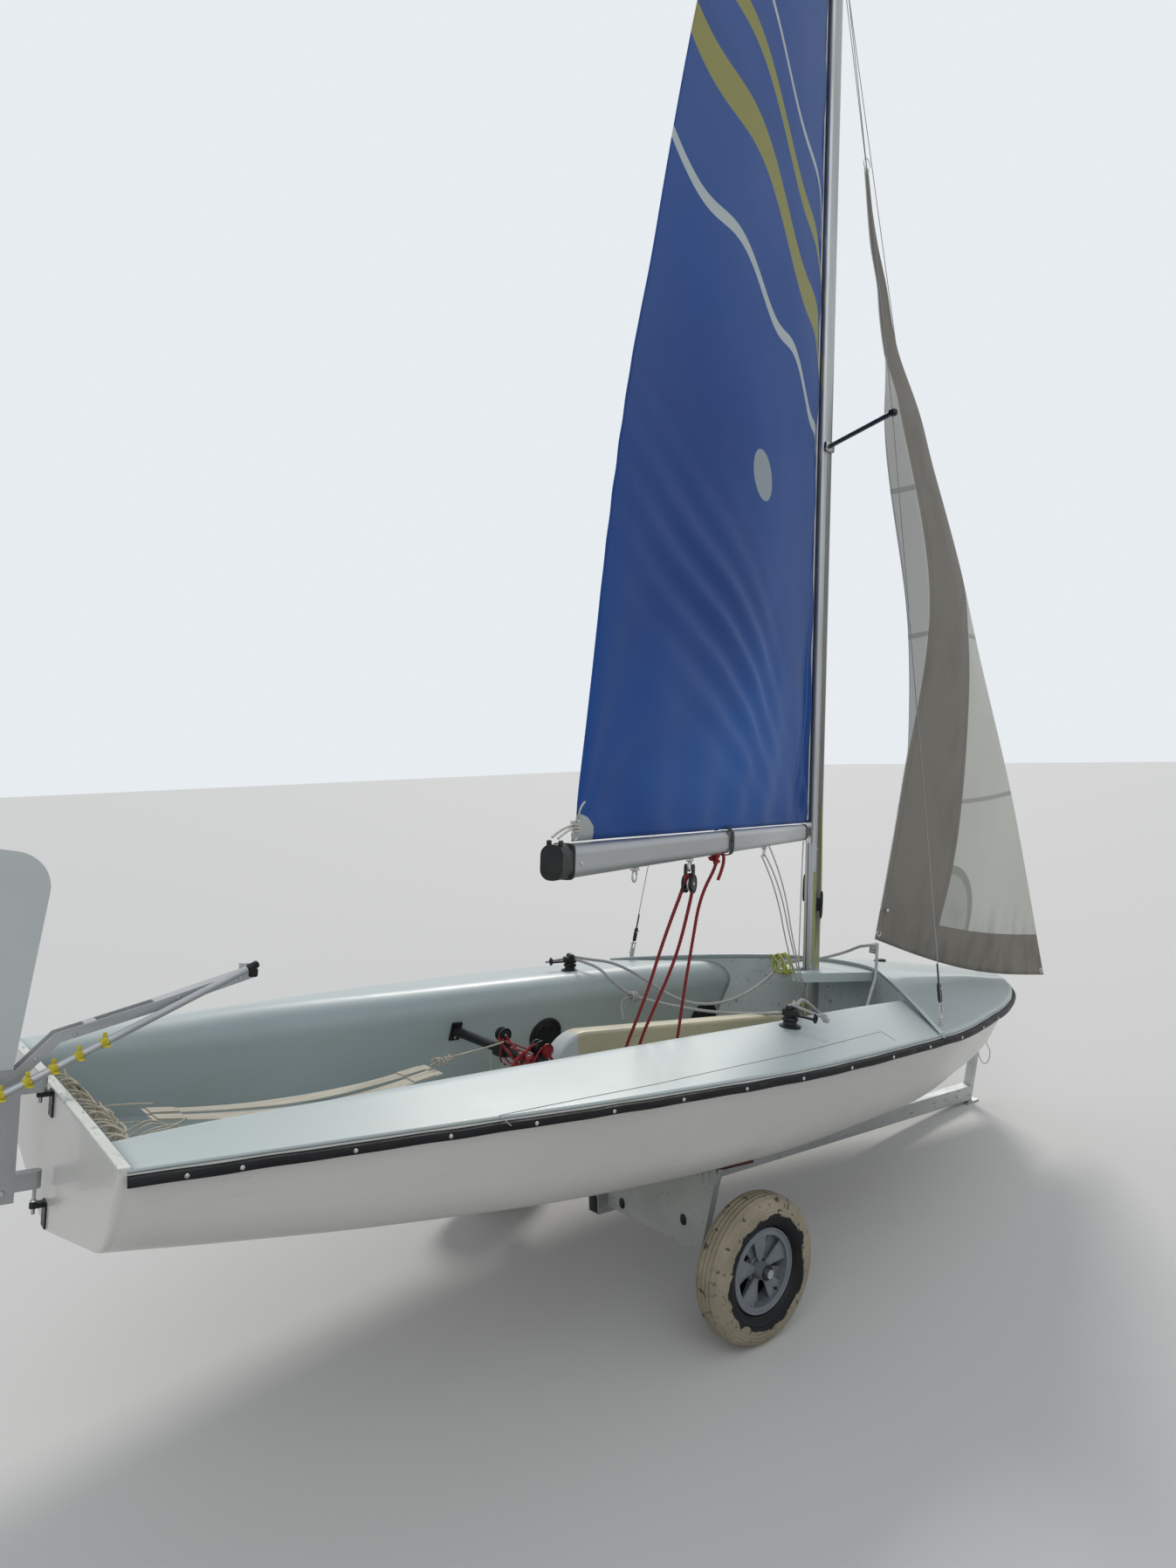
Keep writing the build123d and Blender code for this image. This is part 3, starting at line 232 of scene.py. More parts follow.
def surface(name, points, closed=False, inside=None, crease=50, flat_map=None):
    """Mesh over a grid of points. If closed, its last column joins the first and fans shut the end
    rows. Faces turn away from `inside`, or from the middle. UV is the place along and across the
    grid, 0 to 1, unless `flat_map` gives it."""
    points = np.asarray(points, float)
    rows, columns = points.shape[:2]
    i, j = np.meshgrid(np.arange(rows - 1), np.arange(columns - (not closed)), indexing="ij")
    steps = ((0, 0), (1, 0), (1, 1), (0, 1))
    faces = np.stack([(i + a) * columns + (j + b) % columns for a, b in steps], -1).reshape(-1, 4)
    uv = np.stack([np.stack([(i + a) / i.shape[0], (j + b) / i.shape[1]], -1) for a, b in steps], 2)
    uv = uv.reshape(-1, 4, 2) if flat_map is None else np.stack(flat_map, -1).reshape(-1, 2)[faces]
    flat = points.reshape(-1, 3)
    ends = []
    ring = np.arange(columns)
    for row, way in ((0, 1), (rows - 1, -1)) if closed else ():
        hub = np.full(columns, len(flat))
        fan = np.stack([row * columns + ring, row * columns + (ring + 1) % columns, hub], -1)
        ends.append(fan[:, ::way])
        flat = np.concatenate([flat, points[row].mean(0)[None]])
    p = flat[faces]
    outwards = np.cross(p[:, 2] - p[:, 0], p[:, 3] - p[:, 1])
    about = flat.mean(0) if inside is None else np.array(inside)
    if (outwards * (p.mean(1) - about)).sum() < 0:
        faces, uv = faces[:, ::-1], uv[:, ::-1]
        ends = [end[:, ::-1] for end in ends]
    mesh = bpy.data.meshes.new(name)
    fans = np.concatenate(ends).tolist() if ends else []
    mesh.from_pydata(flat.tolist(), [], faces.tolist() + fans)
    coordinates = np.zeros((len(mesh.loops), 2))
    coordinates[:faces.size] = uv.reshape(-1, 2)
    mesh.uv_layers.new(name="UVMap").data.foreach_set("uv", coordinates.ravel())
    mesh.shade_smooth()
    mesh.set_sharp_from_angle(angle=math.radians(crease))
    piece = bpy.data.objects.new(name, mesh)
    scene.collection.objects.link(piece)
    return piece


def walled(piece, thickness, offset=-1.0, inner_slot=0):
    """The open surface given a wall; -1 grows it inwards."""
    wall = piece.modifiers.new("wall", "SOLIDIFY")
    wall.thickness = thickness
    wall.offset = offset
    wall.use_even_offset = True
    wall.material_offset = inner_slot
    return piece


class Value:
    """A number that a material works out at each point. It is added, multiplied and compared like
    any other."""

    def __init__(self, made, socket):
        self.made, self.socket = made, socket

    def through(self, operation, *terms):
        """One Math node on the terms, or on this value alone."""
        step = self.made.node_tree.nodes.new("ShaderNodeMath")
        step.operation = operation
        for socket, term in zip(step.inputs, terms or (self,)):
            if isinstance(term, Value):
                self.made.node_tree.links.new(term.socket, socket)
            else:
                socket.default_value = term
        return Value(self.made, step.outputs[0])

    def __add__(self, other):
        return self.through("ADD", self, other)

    def __sub__(self, other):
        return self.through("SUBTRACT", self, other)

    def __rsub__(self, other):
        return self.through("SUBTRACT", other, self)

    def __mul__(self, other):
        return self.through("MULTIPLY", self, other)

    def __truediv__(self, other):
        return self.through("DIVIDE", self, other)

    def __gt__(self, other):
        return self.through("GREATER_THAN", self, other)

    def __lt__(self, other):
        return self.through("LESS_THAN", self, other)


def coordinate(made, axis, source="Object"):
    """One coordinate of the point."""
    nodes = made.node_tree.nodes
    apart = nodes.new("ShaderNodeSeparateXYZ")
    made.node_tree.links.new(nodes.new("ShaderNodeTexCoord").outputs[source], apart.inputs["Vector"])
    return Value(made, apart.outputs[axis])


def ramp(value, low, high, least=0.0, most=1.0):
    """`least` up to `low` and `most` past `high`; the other way round where `low` is the larger."""
    limits = value.made.node_tree.nodes.new("ShaderNodeMapRange")
    for name, number in (("From Min", low), ("From Max", high), ("To Min", least), ("To Max", most)):
        limits.inputs[name].default_value = number
    value.made.node_tree.links.new(value.socket, limits.inputs["Value"])
    return Value(value.made, limits.outputs["Result"])


def patches(made, scale, low, high, stretch=(1, 1, 1), detail=5, source="Object"):
    """Noise, 0 below `low` and 1 above `high`."""
    nodes, links = made.node_tree.nodes, made.node_tree.links
    place = nodes.new("ShaderNodeMapping")
    place.inputs["Scale"].default_value = stretch
    noise = nodes.new("ShaderNodeTexNoise")
    noise.inputs["Scale"].default_value = scale
    noise.inputs["Detail"].default_value = detail
    links.new(nodes.new("ShaderNodeTexCoord").outputs[source], place.inputs["Vector"])
    links.new(place.outputs["Vector"], noise.inputs["Vector"])
    return ramp(Value(made, noise.outputs["Fac"]), low, high)


def over(mask, shade, rough=None):
    """Lays a colour, and a roughness if given, over the mask's material where the mask is 1."""
    nodes, links = mask.made.node_tree.nodes, mask.made.node_tree.links
    for name, kind, value in (("Base Color", "RGBA", (*shade, 1)), ("Roughness", "FLOAT", rough)):
        if value is not None:
            under = nodes["Principled BSDF"].inputs[name]
            lay = nodes.new("ShaderNodeMix")
            lay.data_type = kind
            if under.links:
                links.new(under.links[0].from_socket, lay.inputs["A"])
            else:
                lay.inputs["A"].default_value = under.default_value
            lay.inputs["B"].default_value = value
            links.new(mask.socket, lay.inputs["Factor"])
            links.new(lay.outputs["Result"], under)


def raised(height, distance):
    """Bump of `distance` metres where the height is 1, on top of any bump before it."""
    nodes, links = height.made.node_tree.nodes, height.made.node_tree.links
    normal = nodes["Principled BSDF"].inputs["Normal"]
    bump = nodes.new("ShaderNodeBump")
    bump.inputs["Strength"].default_value = 1.0
    bump.inputs["Distance"].default_value = distance
    if normal.links:
        links.new(normal.links[0].from_socket, bump.inputs["Normal"])
    links.new(height.socket, bump.inputs["Height"])
    links.new(bump.outputs["Normal"], normal)


def finish(name, shade, other, scale, rough, metal=0.0, bump=0.0, grain=300.0, drift=0.12,
           stretch=(1, 1, 1), source="Object"):
    """Material whose colour drifts between two shades and whose roughness varies with noise, over
    a fine noise bump of `bump` metres."""
    made = bpy.data.materials.new(name)
    made.use_nodes = True
    look(made, "Metallic", metal)
    look(made, "Base Color", (*shade, 1))
    over(patches(made, scale, 0.3, 0.7, stretch, source=source), other)
    worn = ramp(patches(made, scale * 3.1, 0.25, 0.75, stretch, source=source), 0.0, 1.0,
                max(rough - drift, 0.02), min(rough + drift, 1.0))
    made.node_tree.links.new(worn.socket, made.node_tree.nodes["Principled BSDF"].inputs["Roughness"])
    if bump:
        raised(patches(made, grain, 0.0, 1.0, stretch, source=source), bump)
    return made


def wear(piece, *finishes):
    """Gives a piece its materials."""
    piece.data.materials.clear()
    for one in finishes:
        piece.data.materials.append(one)


def painted(made, *names):
    """Gives a finish to CAD nodes that keep their own shape."""
    for name in names:
        wear(cad[name], made)


def dressed(piece, shade, body, slot_name, *nodes):
    """Gives a piece its finish and body, and hides the nodes that it stands for; slot_name is not used."""
    wear(piece, shade)
    if body:
        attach(piece, body)
    if nodes:
        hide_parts(*nodes)
    return piece


hull_finish = finish("white_gelcoat", (0.60, 0.59, 0.56), (0.55, 0.54, 0.505), 1.6, 0.30,
                     bump=0.0002, grain=7.0, drift=0.02, stretch=(1, 1, 2))
look(hull_finish, "Coat Weight", 0.2)
over(patches(hull_finish, 26, 0.60, 0.75, (0.25, 1, 3)) * 0.22, (0.42, 0.39, 0.33))
over(patches(hull_finish, 120, 0.70, 0.76, (0.08, 0.6, 1.4)) * 0.45, (0.33, 0.32, 0.30))
low_down = 1.0 - ramp(coordinate(hull_finish, "Z"), 0.34, 0.72)
over(low_down * patches(hull_finish, 5, 0.35, 0.75), (0.44, 0.41, 0.35))
deck_finish = finish("deck_gelcoat", (0.45, 0.515, 0.51), (0.405, 0.465, 0.46), 1.7, 0.44,
                     bump=0.0002, grain=6.0, drift=0.03)
look(deck_finish, "Coat Weight", 0.06)
over(patches(deck_finish, 9, 0.52, 0.75, (0.5, 1, 1)) * 0.30, (0.41, 0.41, 0.36))
over(patches(deck_finish, 150, 0.71, 0.77, (0.15, 0.7, 1)) * 0.45, (0.30, 0.30, 0.28))

hull_rows = np.unique(np.concatenate([np.linspace(0, 3.8, 70), np.linspace(3.8, hull_length, 40)]))
hull_x, hull_v = np.meshgrid(hull_rows, np.linspace(-1, 1, 97), indexing="ij")
hull = surface("hull", aboard(hull_skin(hull_x, hull_v)), inside=(-1.9, 0, 0.75), crease=70)
walled(hull, hull_wall, inner_slot=1)
wear(hull, hull_finish, deck_finish)
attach(hull, "boat")
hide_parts("hull_shell")

# Transom: the moulded stern panel, flat across, with a soft corner all round where it turns into
# the hull. Its top is slightly crowned and takes the capping strip.
transom_depth = 0.0143
transom_half = 0.595
transom_top = 0.4353
transom_top_crown = 0.008
stern_half = hull_skin(np.zeros(60), np.linspace(-1, 1, 60))[:, 1:]
top_y = np.linspace(transom_half, -transom_half, 24)
stern_top = np.stack([top_y, transom_top + transom_top_crown * (1 - (top_y / transom_half) ** 2)], -1)
stern_outline = np.concatenate([stern_half, stern_top])
stern_centre = np.array((0, 0.30))
turn_in = np.linspace(0, np.pi / 2, 7)
ring_scale = np.concatenate([1 - 0.026 * (1 - np.cos(turn_in)), np.linspace(0.93, 0.04, 9)])
ring_x = -np.concatenate([transom_depth * np.sin(turn_in), np.full(9, transom_depth)])
ring_yz = stern_centre + (stern_outline - stern_centre) * ring_scale[:, None, None]
ring_x = np.broadcast_to(ring_x[:, None, None], (*ring_yz.shape[:2], 1))
transom = surface("transom_panel", aboard(np.concatenate([ring_x, ring_yz], -1)), closed=True,
                  inside=(-3.5, 0, 0.8), crease=60)
dressed(transom, hull_finish, "boat", "hull_gelcoat", "transom")

# Side tanks: rolled buoyancy tanks of pale blue-grey gelcoat, from the gunwale over a round inner
# corner down to the floor. Each ends forward under the coaming's arch.
sides = (("port", 1), ("starboard", -1))
tank_edge = 0.0083
tank_wall = 0.006
# columns: x, inner corner half width, rise over the gunwale, foot half width, corner radius
tank_table = np.array([
    (0, 405, 8, 455, 30),
    (250, 410, 42, 475, 60),
    (600, 415, 58, 500, 80),
    (1200, 405, 50, 520, 80),
    (1800, 410, 46, 520, 80),
    (2400, 392, 38, 505, 80),
    (2900, 392, 22, 470, 70),
]) / 1000
coaming_apex = 3.060
coaming_half = math.radians(49.3)
coaming_radius = 0.3
coaming_centre = coaming_apex - coaming_radius / math.sin(coaming_half)


def coaming_at(y):
    """How far forward the cockpit reaches at a half width: a round nose between straight sides."""
    y = np.abs(y)
    nose = coaming_centre + np.sqrt(np.clip(coaming_radius ** 2 - y ** 2, 0, None))
    side = coaming_apex - y / math.tan(coaming_half)
    return np.where(y < coaming_radius * math.cos(coaming_half), nose, side)


def tank_skin(x, v):
    """Port tank at x and v, from 0 at the gunwale over the rolled corner to 1 at the floor."""
    beam, sheer, keel, bilge_y, bilge_z, _ = between_rows(hull_table, x)
    corner_y, rise, foot_y, roll = between_rows(tank_table, x)
    foot_z = keel + (bilge_z - keel) * foot_y / bilge_y
    section = rounded_bend(
        v, np.stack([beam, sheer + tank_edge], -1),
        np.stack([corner_y, sheer + tank_edge + rise], -1), np.stack([foot_y, foot_z], -1),
        roll, (0.34, 0.70))
    return np.stack([x, section[..., 0], section[..., 1]], -1)


def on_tank(x, y, steps):
    """Height of the port tank's top at a place."""
    top = tank_skin(np.full(steps, x), np.linspace(0, 0.5, steps))
    return np.interp(-y, -top[:, 1], top[:, 2])


tank_v = np.linspace(0, 1, 64)
tank_end = np.full(64, 2.4)
for _ in range(12):
    tank_end = coaming_at(tank_skin(tank_end, tank_v)[:, 1])
tank_u = np.linspace(0, 1, 90)
tank_grid = tank_skin(tank_u[:, None] * tank_end, np.broadcast_to(tank_v, (90, 64)))
for side, way in sides:
    tank = surface(f"tank_{side}", aboard(tank_grid * (1, way, 1)),
                   inside=(-2.4, way * 0.66, 0.60), crease=70)
    walled(tank, tank_wall)
    dressed(tank, deck_finish, "boat", "deck_gelcoat", f"side_tank_{side}")

# Foredeck: a crowned deck of the same moulding from the coaming's arch to the stem, with a rolled
# lip round the cockpit's edge.
deck_top = 0.0083
deck_crown = 0.073
crown_beam = 0.705
deck_wall = 0.007


def deck_skin(x, w):
    """Deck at x and w, -1 to 1 across: its middle stands over its edge by the crown, which falls
    off with the beam."""
    beam, sheer = between_rows(hull_table, x)[:2]
    crown = deck_crown * np.minimum(1, (beam / crown_beam) ** 2)
    return np.stack([x, w * beam, sheer + deck_top + crown * (1 - w * w)], -1)


deck_w = np.linspace(-1, 1, 81)
deck_start = np.full(81, 2.7)
for _ in range(20):
    deck_start = coaming_at(deck_skin(deck_start, deck_w)[:, 1])
deck_u = np.linspace(0, 1, 60)[:, None]
deck_grid = deck_skin(deck_start + (hull_length - deck_start) * deck_u, np.broadcast_to(deck_w, (60, 81)))
deck = surface("deck", aboard(deck_grid), inside=(-0.6, 0, 0.2), crease=70)
walled(deck, deck_wall)
dressed(deck, deck_finish, "boat", "deck_gelcoat", "foredeck")


def carried(path, profile, upright=(0, 0, 1)):
    """Grid of a closed profile carried along a path: its first column lies beside the path and its
    second along `upright`, or along the way that the path bends least if that is None."""
    path = np.asarray(path, float)
    along = unit(np.gradient(path, axis=0))
    if upright is None:
        upright = np.linalg.svd(along, full_matrices=False)[2][-1]
    beside = unit(np.cross(along, upright))
    upward = np.cross(beside, along)
    profile = np.broadcast_to(profile, (len(path), *np.shape(profile)[-2:]))
    return path[:, None] + beside[:, None] * profile[..., :1] + upward[:, None] * profile[..., 1:]


lip_profile = np.array([
    (-0.006, 0.001), (-0.006, 0.004), (-0.003, 0.0065), (0.003, 0.007), (0.009, 0.005),
    (0.011, 0.0), (0.011, -0.022), (0.008, -0.026), (0.004, -0.026), (0.003, -0.006)])
lip_path = aboard(deck_grid[0] + (0, 0, 0.001))
lip = surface("coaming_lip", carried(lip_path, lip_profile), closed=True)
dressed(lip, deck_finish, "boat", "deck_gelcoat")

# Rub rails: black rubber strip screwed along each gunwale, round to the stem, held by pan-headed
# screws about 200 mm apart.
rail_finish = finish("black_rubber", (0.006, 0.006, 0.007), (0.014, 0.014, 0.015), 30, 0.50,
                     bump=0.0004, grain=160, stretch=(0.3, 1, 1))
look(rail_finish, "Specular IOR Level", 0.22)
over(patches(rail_finish, 60, 0.64, 0.76, (0.3, 1, 1)) * 0.4, (0.10, 0.10, 0.095))
steel_finish = finish("stainless", (0.56, 0.56, 0.55), (0.42, 0.42, 0.41), 60, 0.30, metal=1.0,
                      bump=0.0002, grain=400)
rail_drop = 0.013
rail_depth = 0.0135
rail_profile = np.array([
    (0.0, -0.011), (0.007, -0.0108), (0.0115, -0.009), (0.0138, -0.005), (0.0145, 0.0),
    (0.0138, 0.005), (0.0115, 0.009), (0.007, 0.0108), (0.0, 0.011)])
rail_x = np.concatenate([np.linspace(0, 3.7, 150), np.linspace(3.72, hull_length, 36)])
rail_waves = 0.0009 * np.sin(rail_x * 31) * np.sin(rail_x * 7.3)
screw_x = np.concatenate([[0.10, 0.20], np.arange(0.42, 3.9, 0.205)])
pan_head = [(0.0052, -0.003), (0.0052, 0.0008), (0.0046, 0.0022), (0.003, 0.003), (0.0012, 0.0032)]


def rail_line(x, way, out):
    """Point on the gunwale's side at x, `out` metres outside the hull and under the sheer."""
    beam, sheer = between_rows(hull_table, x)[:2]
    return np.stack([x, way * (beam + out), sheer - rail_drop], -1)


def turned(profile, centre, axis, around=24):
    """Grid of a profile of radius and height, turned about an axis through a centre."""
    axis = unit(np.asarray(axis, float))
    first = unit(np.cross(axis, (0.31, 0.83, 0.46)))
    second = np.cross(axis, first)
    angle = np.linspace(0, 2 * np.pi, around, endpoint=False)[None, :, None]
    radius, height = np.asarray(profile, float).T[:, :, None, None]
    return (np.asarray(centre) + axis * height
            + radius * (first * np.cos(angle) + second * np.sin(angle)))


def lathed(name, profile, centre, axis, around=24):
    """Closed round piece."""
    return surface(name, turned(profile, centre, axis, around), closed=True, crease=35)


def together(name, pieces):
    """One piece out of several, which keep their smooth and sharp edges and their maps."""
    whole = bmesh.new()
    for piece in pieces:
        old = piece.data
        whole.from_mesh(old)
        bpy.data.objects.remove(piece)
        bpy.data.meshes.remove(old)
    mesh = bpy.data.meshes.new(name)
    whole.to_mesh(mesh)
    whole.free()
    made = bpy.data.objects.new(name, mesh)
    scene.collection.objects.link(made)
    return made


def joined(name, pieces, *dress):
    """The pieces as one, dressed."""
    return dressed(together(name, pieces), *dress)


for side, way in sides:
    rail_path = rail_line(rail_x, way, 0.0005) + rail_waves[:, None] * (0, 0, 1)
    rail_path = np.concatenate([rail_path, [(4.0515, way * 0.0002, rail_path[-1, 2])]])
    rail = surface(f"rail_{side}", aboard(carried(rail_path, rail_profile * (-way, 1))), closed=True,
                   crease=35)
    dressed(rail, rail_finish, "boat", "black_rubber", f"rub_rail_{side}")
    seats = aboard(rail_line(screw_x, way, rail_depth))
    outwards = rail_line(screw_x + 0.01, way, 0) - rail_line(screw_x - 0.01, way, 0)
    outwards = np.stack([way * -outwards[:, 1], way * outwards[:, 0], 0 * screw_x], -1)
    screws = [lathed("screw", pan_head, seat, towards, 12) for seat, towards in zip(seats, outwards)]
    joined(f"rail_screws_{side}", screws, steel_finish, "boat", "stainless")

# Access panel: an oblong of sealant in the starboard tank's top, where a cut-out was let in again.
seal_finish = finish("sealant", (0.13, 0.14, 0.14), (0.20, 0.21, 0.205), 40, 0.6, bump=0.0002)
corners = np.array([(0.735, -0.790), (0.749, -0.722), (1.20, -0.742), (1.75, -0.742), (2.184, -0.713),
                    (2.150, -0.790)])
along_share = np.linspace(0, 1, 60)[:, None]
seal_xy = np.concatenate([a + (b - a) * along_share for a, b in zip(corners[:-1], corners[1:])])
seal_path = np.array([(x, y, on_tank(x, -y, 50) + 0.0002) for x, y in seal_xy])
keep = np.r_[True, np.linalg.norm(np.diff(seal_path, axis=0), axis=1) > 1e-4]
seal_profile = [(-0.0013, -0.0010), (-0.0009, 0.0006), (0.0009, 0.0006), (0.0013, -0.0010)]
seal = surface("panel_seal", aboard(carried(seal_path[keep], seal_profile)), closed=True)
dressed(seal, seal_finish, "boat", "deck_gelcoat")

# Capping: pale strip of cut laminate glued along the transom's top, scuffed where the tiller and the
# sheet have dragged over it.
cap_finish = finish("capping", (0.66, 0.68, 0.64), (0.58, 0.60, 0.56), 14, 0.42, bump=0.0003, grain=90)
over(patches(cap_finish, 70, 0.58, 0.66, (2, 0.4, 1)) * 0.8, (0.25, 0.25, 0.20), 0.6)
painted(cap_finish, "transom_cap")

# Bulkhead and mast shelf: the same pale moulding under the foredeck, bonded across the hull, with
# the shelf that holds the mast at deck height.
shade_finish = finish("inner_gelcoat", (0.52, 0.57, 0.57), (0.44, 0.48, 0.48), 5, 0.34,
                      bump=0.0004, grain=30)
over(patches(shade_finish, 45, 0.62, 0.70) * 0.7, (0.16, 0.16, 0.15), 0.6)
painted(shade_finish, "bulkhead")
painted(deck_finish, "mast_partner")

# Centreboard case: boxed laminate on the keel, its lid painted cream where feet wear it, with a
# pale grey round end aft.
case_finish = finish("cream_case", (0.52, 0.47, 0.31), (0.44, 0.40, 0.27), 7, 0.40,
                     bump=0.0003, grain=60, stretch=(0.4, 1, 1))
over(patches(case_finish, 55, 0.60, 0.72, (0.3, 1, 1)) * 0.6, (0.33, 0.30, 0.22), 0.55)
over(1.0 - ramp(coordinate(case_finish, "X"), -2.338, -2.330), (0.50, 0.54, 0.53), 0.4)
case_half, case_low, case_corner = 0.036, 0.030, 0.012
case_top_aft, case_top_front = 0.442, 0.413
round_start, round_reach, round_drop = 1.400, 0.150, 0.200
round_rows = round_start + round_reach * (1 - np.cos(np.linspace(0, np.pi / 2, 26)))
case_rows = np.concatenate([round_rows, np.linspace(1.57, 2.559, 24)])[:, None]
into_round = np.clip(1 - (case_rows - round_start) / round_reach, 0, 1)
case_tops = (np.interp(case_rows, (1.400, 2.560), (case_top_aft, case_top_front))
             - round_drop * (1 - np.sqrt(1 - into_round ** 2)))
corner = np.radians(np.linspace(0, 90, 6))
# half of the section: half width, share of the height, lift over it
half_ring = np.concatenate([
    np.stack([np.full(8, case_half), np.linspace(0, 1, 8), np.zeros(8)], -1),
    np.stack([case_half - case_corner * (1 - np.cos(corner)), 1 + 0 * corner,
              case_corner * np.sin(corner)], -1)])
ring_y, ring_share, ring_lift = np.concatenate([half_ring, half_ring[::-1] * (-1, 1, 1)]).T
case_z = case_low + (case_tops - case_corner - case_low) * ring_share + ring_lift
case_grid = np.stack(np.broadcast_arrays(case_rows, ring_y, case_z), -1)
case = surface("case_shell", aboard(case_grid), closed=True, crease=40)
dressed(case, case_finish, "boat", "case_gelcoat", "centreboard_case")

# Inspection hatches: screw-in lids of black nylon in the tanks' inner faces, each with a raised rim
# and six grip ribs.
black_finish = finish("black_moulding", (0.008, 0.008, 0.009), (0.016, 0.016, 0.016), 40, 0.42, bump=0.0002)
look(black_finish, "Specular IOR Level", 0.3)
hatch_places = (1.760, 2.590)
hatch_height = 0.305
hatch_radius = 0.070
lid_profile = [
    (hatch_radius, -0.001), (hatch_radius, 0.006), (0.067, 0.009), (0.062, 0.010), (0.058, 0.008),
    (0.056, 0.005), (0.054, 0.0045), (0.050, 0.008), (0.030, 0.009), (0.004, 0.009)]
rib_profile = [(-0.003, -0.003), (-0.002, 0.003), (0.002, 0.003), (0.003, -0.003)]
for side, way in sides:
    lids = []
    for x in hatch_places:
        face = tank_skin(np.full(60, x), np.linspace(0.75, 1, 60))
        seat = np.array([np.interp(-hatch_height, -face[:, 2], face[:, k]) for k in range(3)])
        fore, aft = tank_skin(np.array([x + 0.05, x - 0.05]), np.full(2, 0.9))
        inwards = unit(np.cross(face[-1] - face[0], fore - aft))
        seat, inwards = seat * (1, way, 1), -np.sign(inwards[1]) * inwards * (1, way, 1)
        tip = aboard(seat + inwards) - aboard(seat)
        lids.append(lathed("lid", lid_profile, aboard(seat + 0.001 * inwards), tip, 64))
        across = unit(np.cross(inwards, (1.0, 0.0, 0.0)))
        for spin in np.radians(np.arange(0, 360, 60)):
            ray = np.cos(spin) * np.cross(across, inwards) + np.sin(spin) * across
            rib = seat + inwards * 0.009 + ray * np.linspace(0.012, 0.046, 8)[:, None]
            lids.append(surface("rib", aboard(carried(rib, rib_profile, inwards)), closed=True))
    covers = ("hatch_covers",) if way > 0 else ()
    joined(f"hatch_lids_{side}", lids, black_finish, "boat", "black_plastic", *covers)

# Traveller: black tube across the cockpit between two bolted flanges, with two rolling blocks that
# carry the red cam cleat, its cheeks and the turns of the sheet's tail.
traveller_x = 1.350
traveller_z = 0.362
sheave_rise = 0.048
cam_y = -0.045
red_plastic = finish("red_moulding", (0.27, 0.010, 0.014), (0.18, 0.008, 0.011), 40, 0.40)
painted(black_finish, "traveller_tube")


def placed(points, shared):
    """Boat points in the shared frame, or points that are in it already."""
    return np.asarray(points, float) if shared else aboard(points)


def soft_block(name, centre, size, axes=None, roundness=0.3, shared=False):
    """Closed box with soft edges: cosines and sines of two angles raised to a small power."""
    across = np.linspace(-1.5, 1.5, 16)[:, None]
    turn = np.linspace(-np.pi, np.pi, 28, endpoint=False)[None]

    def power(value):
        return np.sign(value) * np.abs(value) ** roundness

    grid = np.stack([power(np.cos(across)) * power(np.cos(turn)),
                     power(np.cos(across)) * power(np.sin(turn)),
                     power(np.sin(across)) * np.ones_like(turn)], -1) * np.asarray(size) / 2
    axes = np.eye(3) if axes is None else np.asarray(axes, float)
    return surface(name, placed(np.asarray(centre) + grid @ axes, shared), closed=True)


def bar(name, start, end, radius, around=16, shared=False):
    """Round bar between two points, its ends a little rounded."""
    start, end = np.asarray(start, float), np.asarray(end, float)
    reach = np.linalg.norm(end - start)
    profile = [(0.75 * radius, 0), (radius, 0.3 * radius), (radius, reach - 0.3 * radius),
               (0.75 * radius, reach)]
    a, b = placed(start, shared), placed(end, shared)
    return surface(name, turned(profile, a, b - a, around), closed=True, crease=40)


def pin(name, middle, half, radius, around=16):
    """Round bar that reaches `half` either way from its middle."""
    middle, half = np.asarray(middle), np.asarray(half)
    return bar(name, middle - half, middle + half, radius, around)


black_parts, metal_parts = [], []
for y in (0.155, cam_y):
    middle = np.array((traveller_x, y, traveller_z))
    sheave_at = middle + (0, 0, sheave_rise)
    black_parts.append(soft_block("carriage", middle, (0.046, 0.066, 0.046)))
    for gap in (-0.011, 0.011):
        black_parts.append(pin("cheek", sheave_at + (0, gap, 0), (0, 0.003, 0), 0.023, 28))
    metal_parts += [pin("sheave", sheave_at, (0, 0.006, 0), 0.017, 28),
                    pin("axle_pin", sheave_at, (0, 0.017, 0), 0.004),
                    pin("post", middle + (0, 0, 0.027), (0, 0, 0.007), 0.007)]
red_parts = [soft_block("cam_base", (1.325, cam_y, 0.372), (0.036, 0.040, 0.030))]
for gap in (-0.020, 0.020):
    red_parts += [
        pin("cam", (1.300, cam_y + gap, 0.383), (0, 0, 0.011), 0.013, 20),
        pin("red_cheek", (1.365, cam_y + 1.275 * gap, 0.404), (0, 0.075 * gap, 0), 0.021, 24)]
    metal_parts.append(pin("cam_pin", (1.300, cam_y + gap, 0.384), (0, 0, 0.014), 0.003))
joined("traveller_blocks", black_parts, black_finish, "boat", "black_plastic", "traveller_block")
joined("traveller_cams", red_parts, red_plastic, "boat", "black_plastic")
flange_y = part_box("traveller_tube")[1][1] - 0.012
for way in (-1, 1):
    for rise in (-0.024, 0.024):
        at = (traveller_x, way * flange_y, traveller_z + rise)
        metal_parts.append(pin("screw", at, (0, way * 0.0015, 0), 0.0045))
joined("traveller_metal", metal_parts, steel_finish, "boat", "stainless")

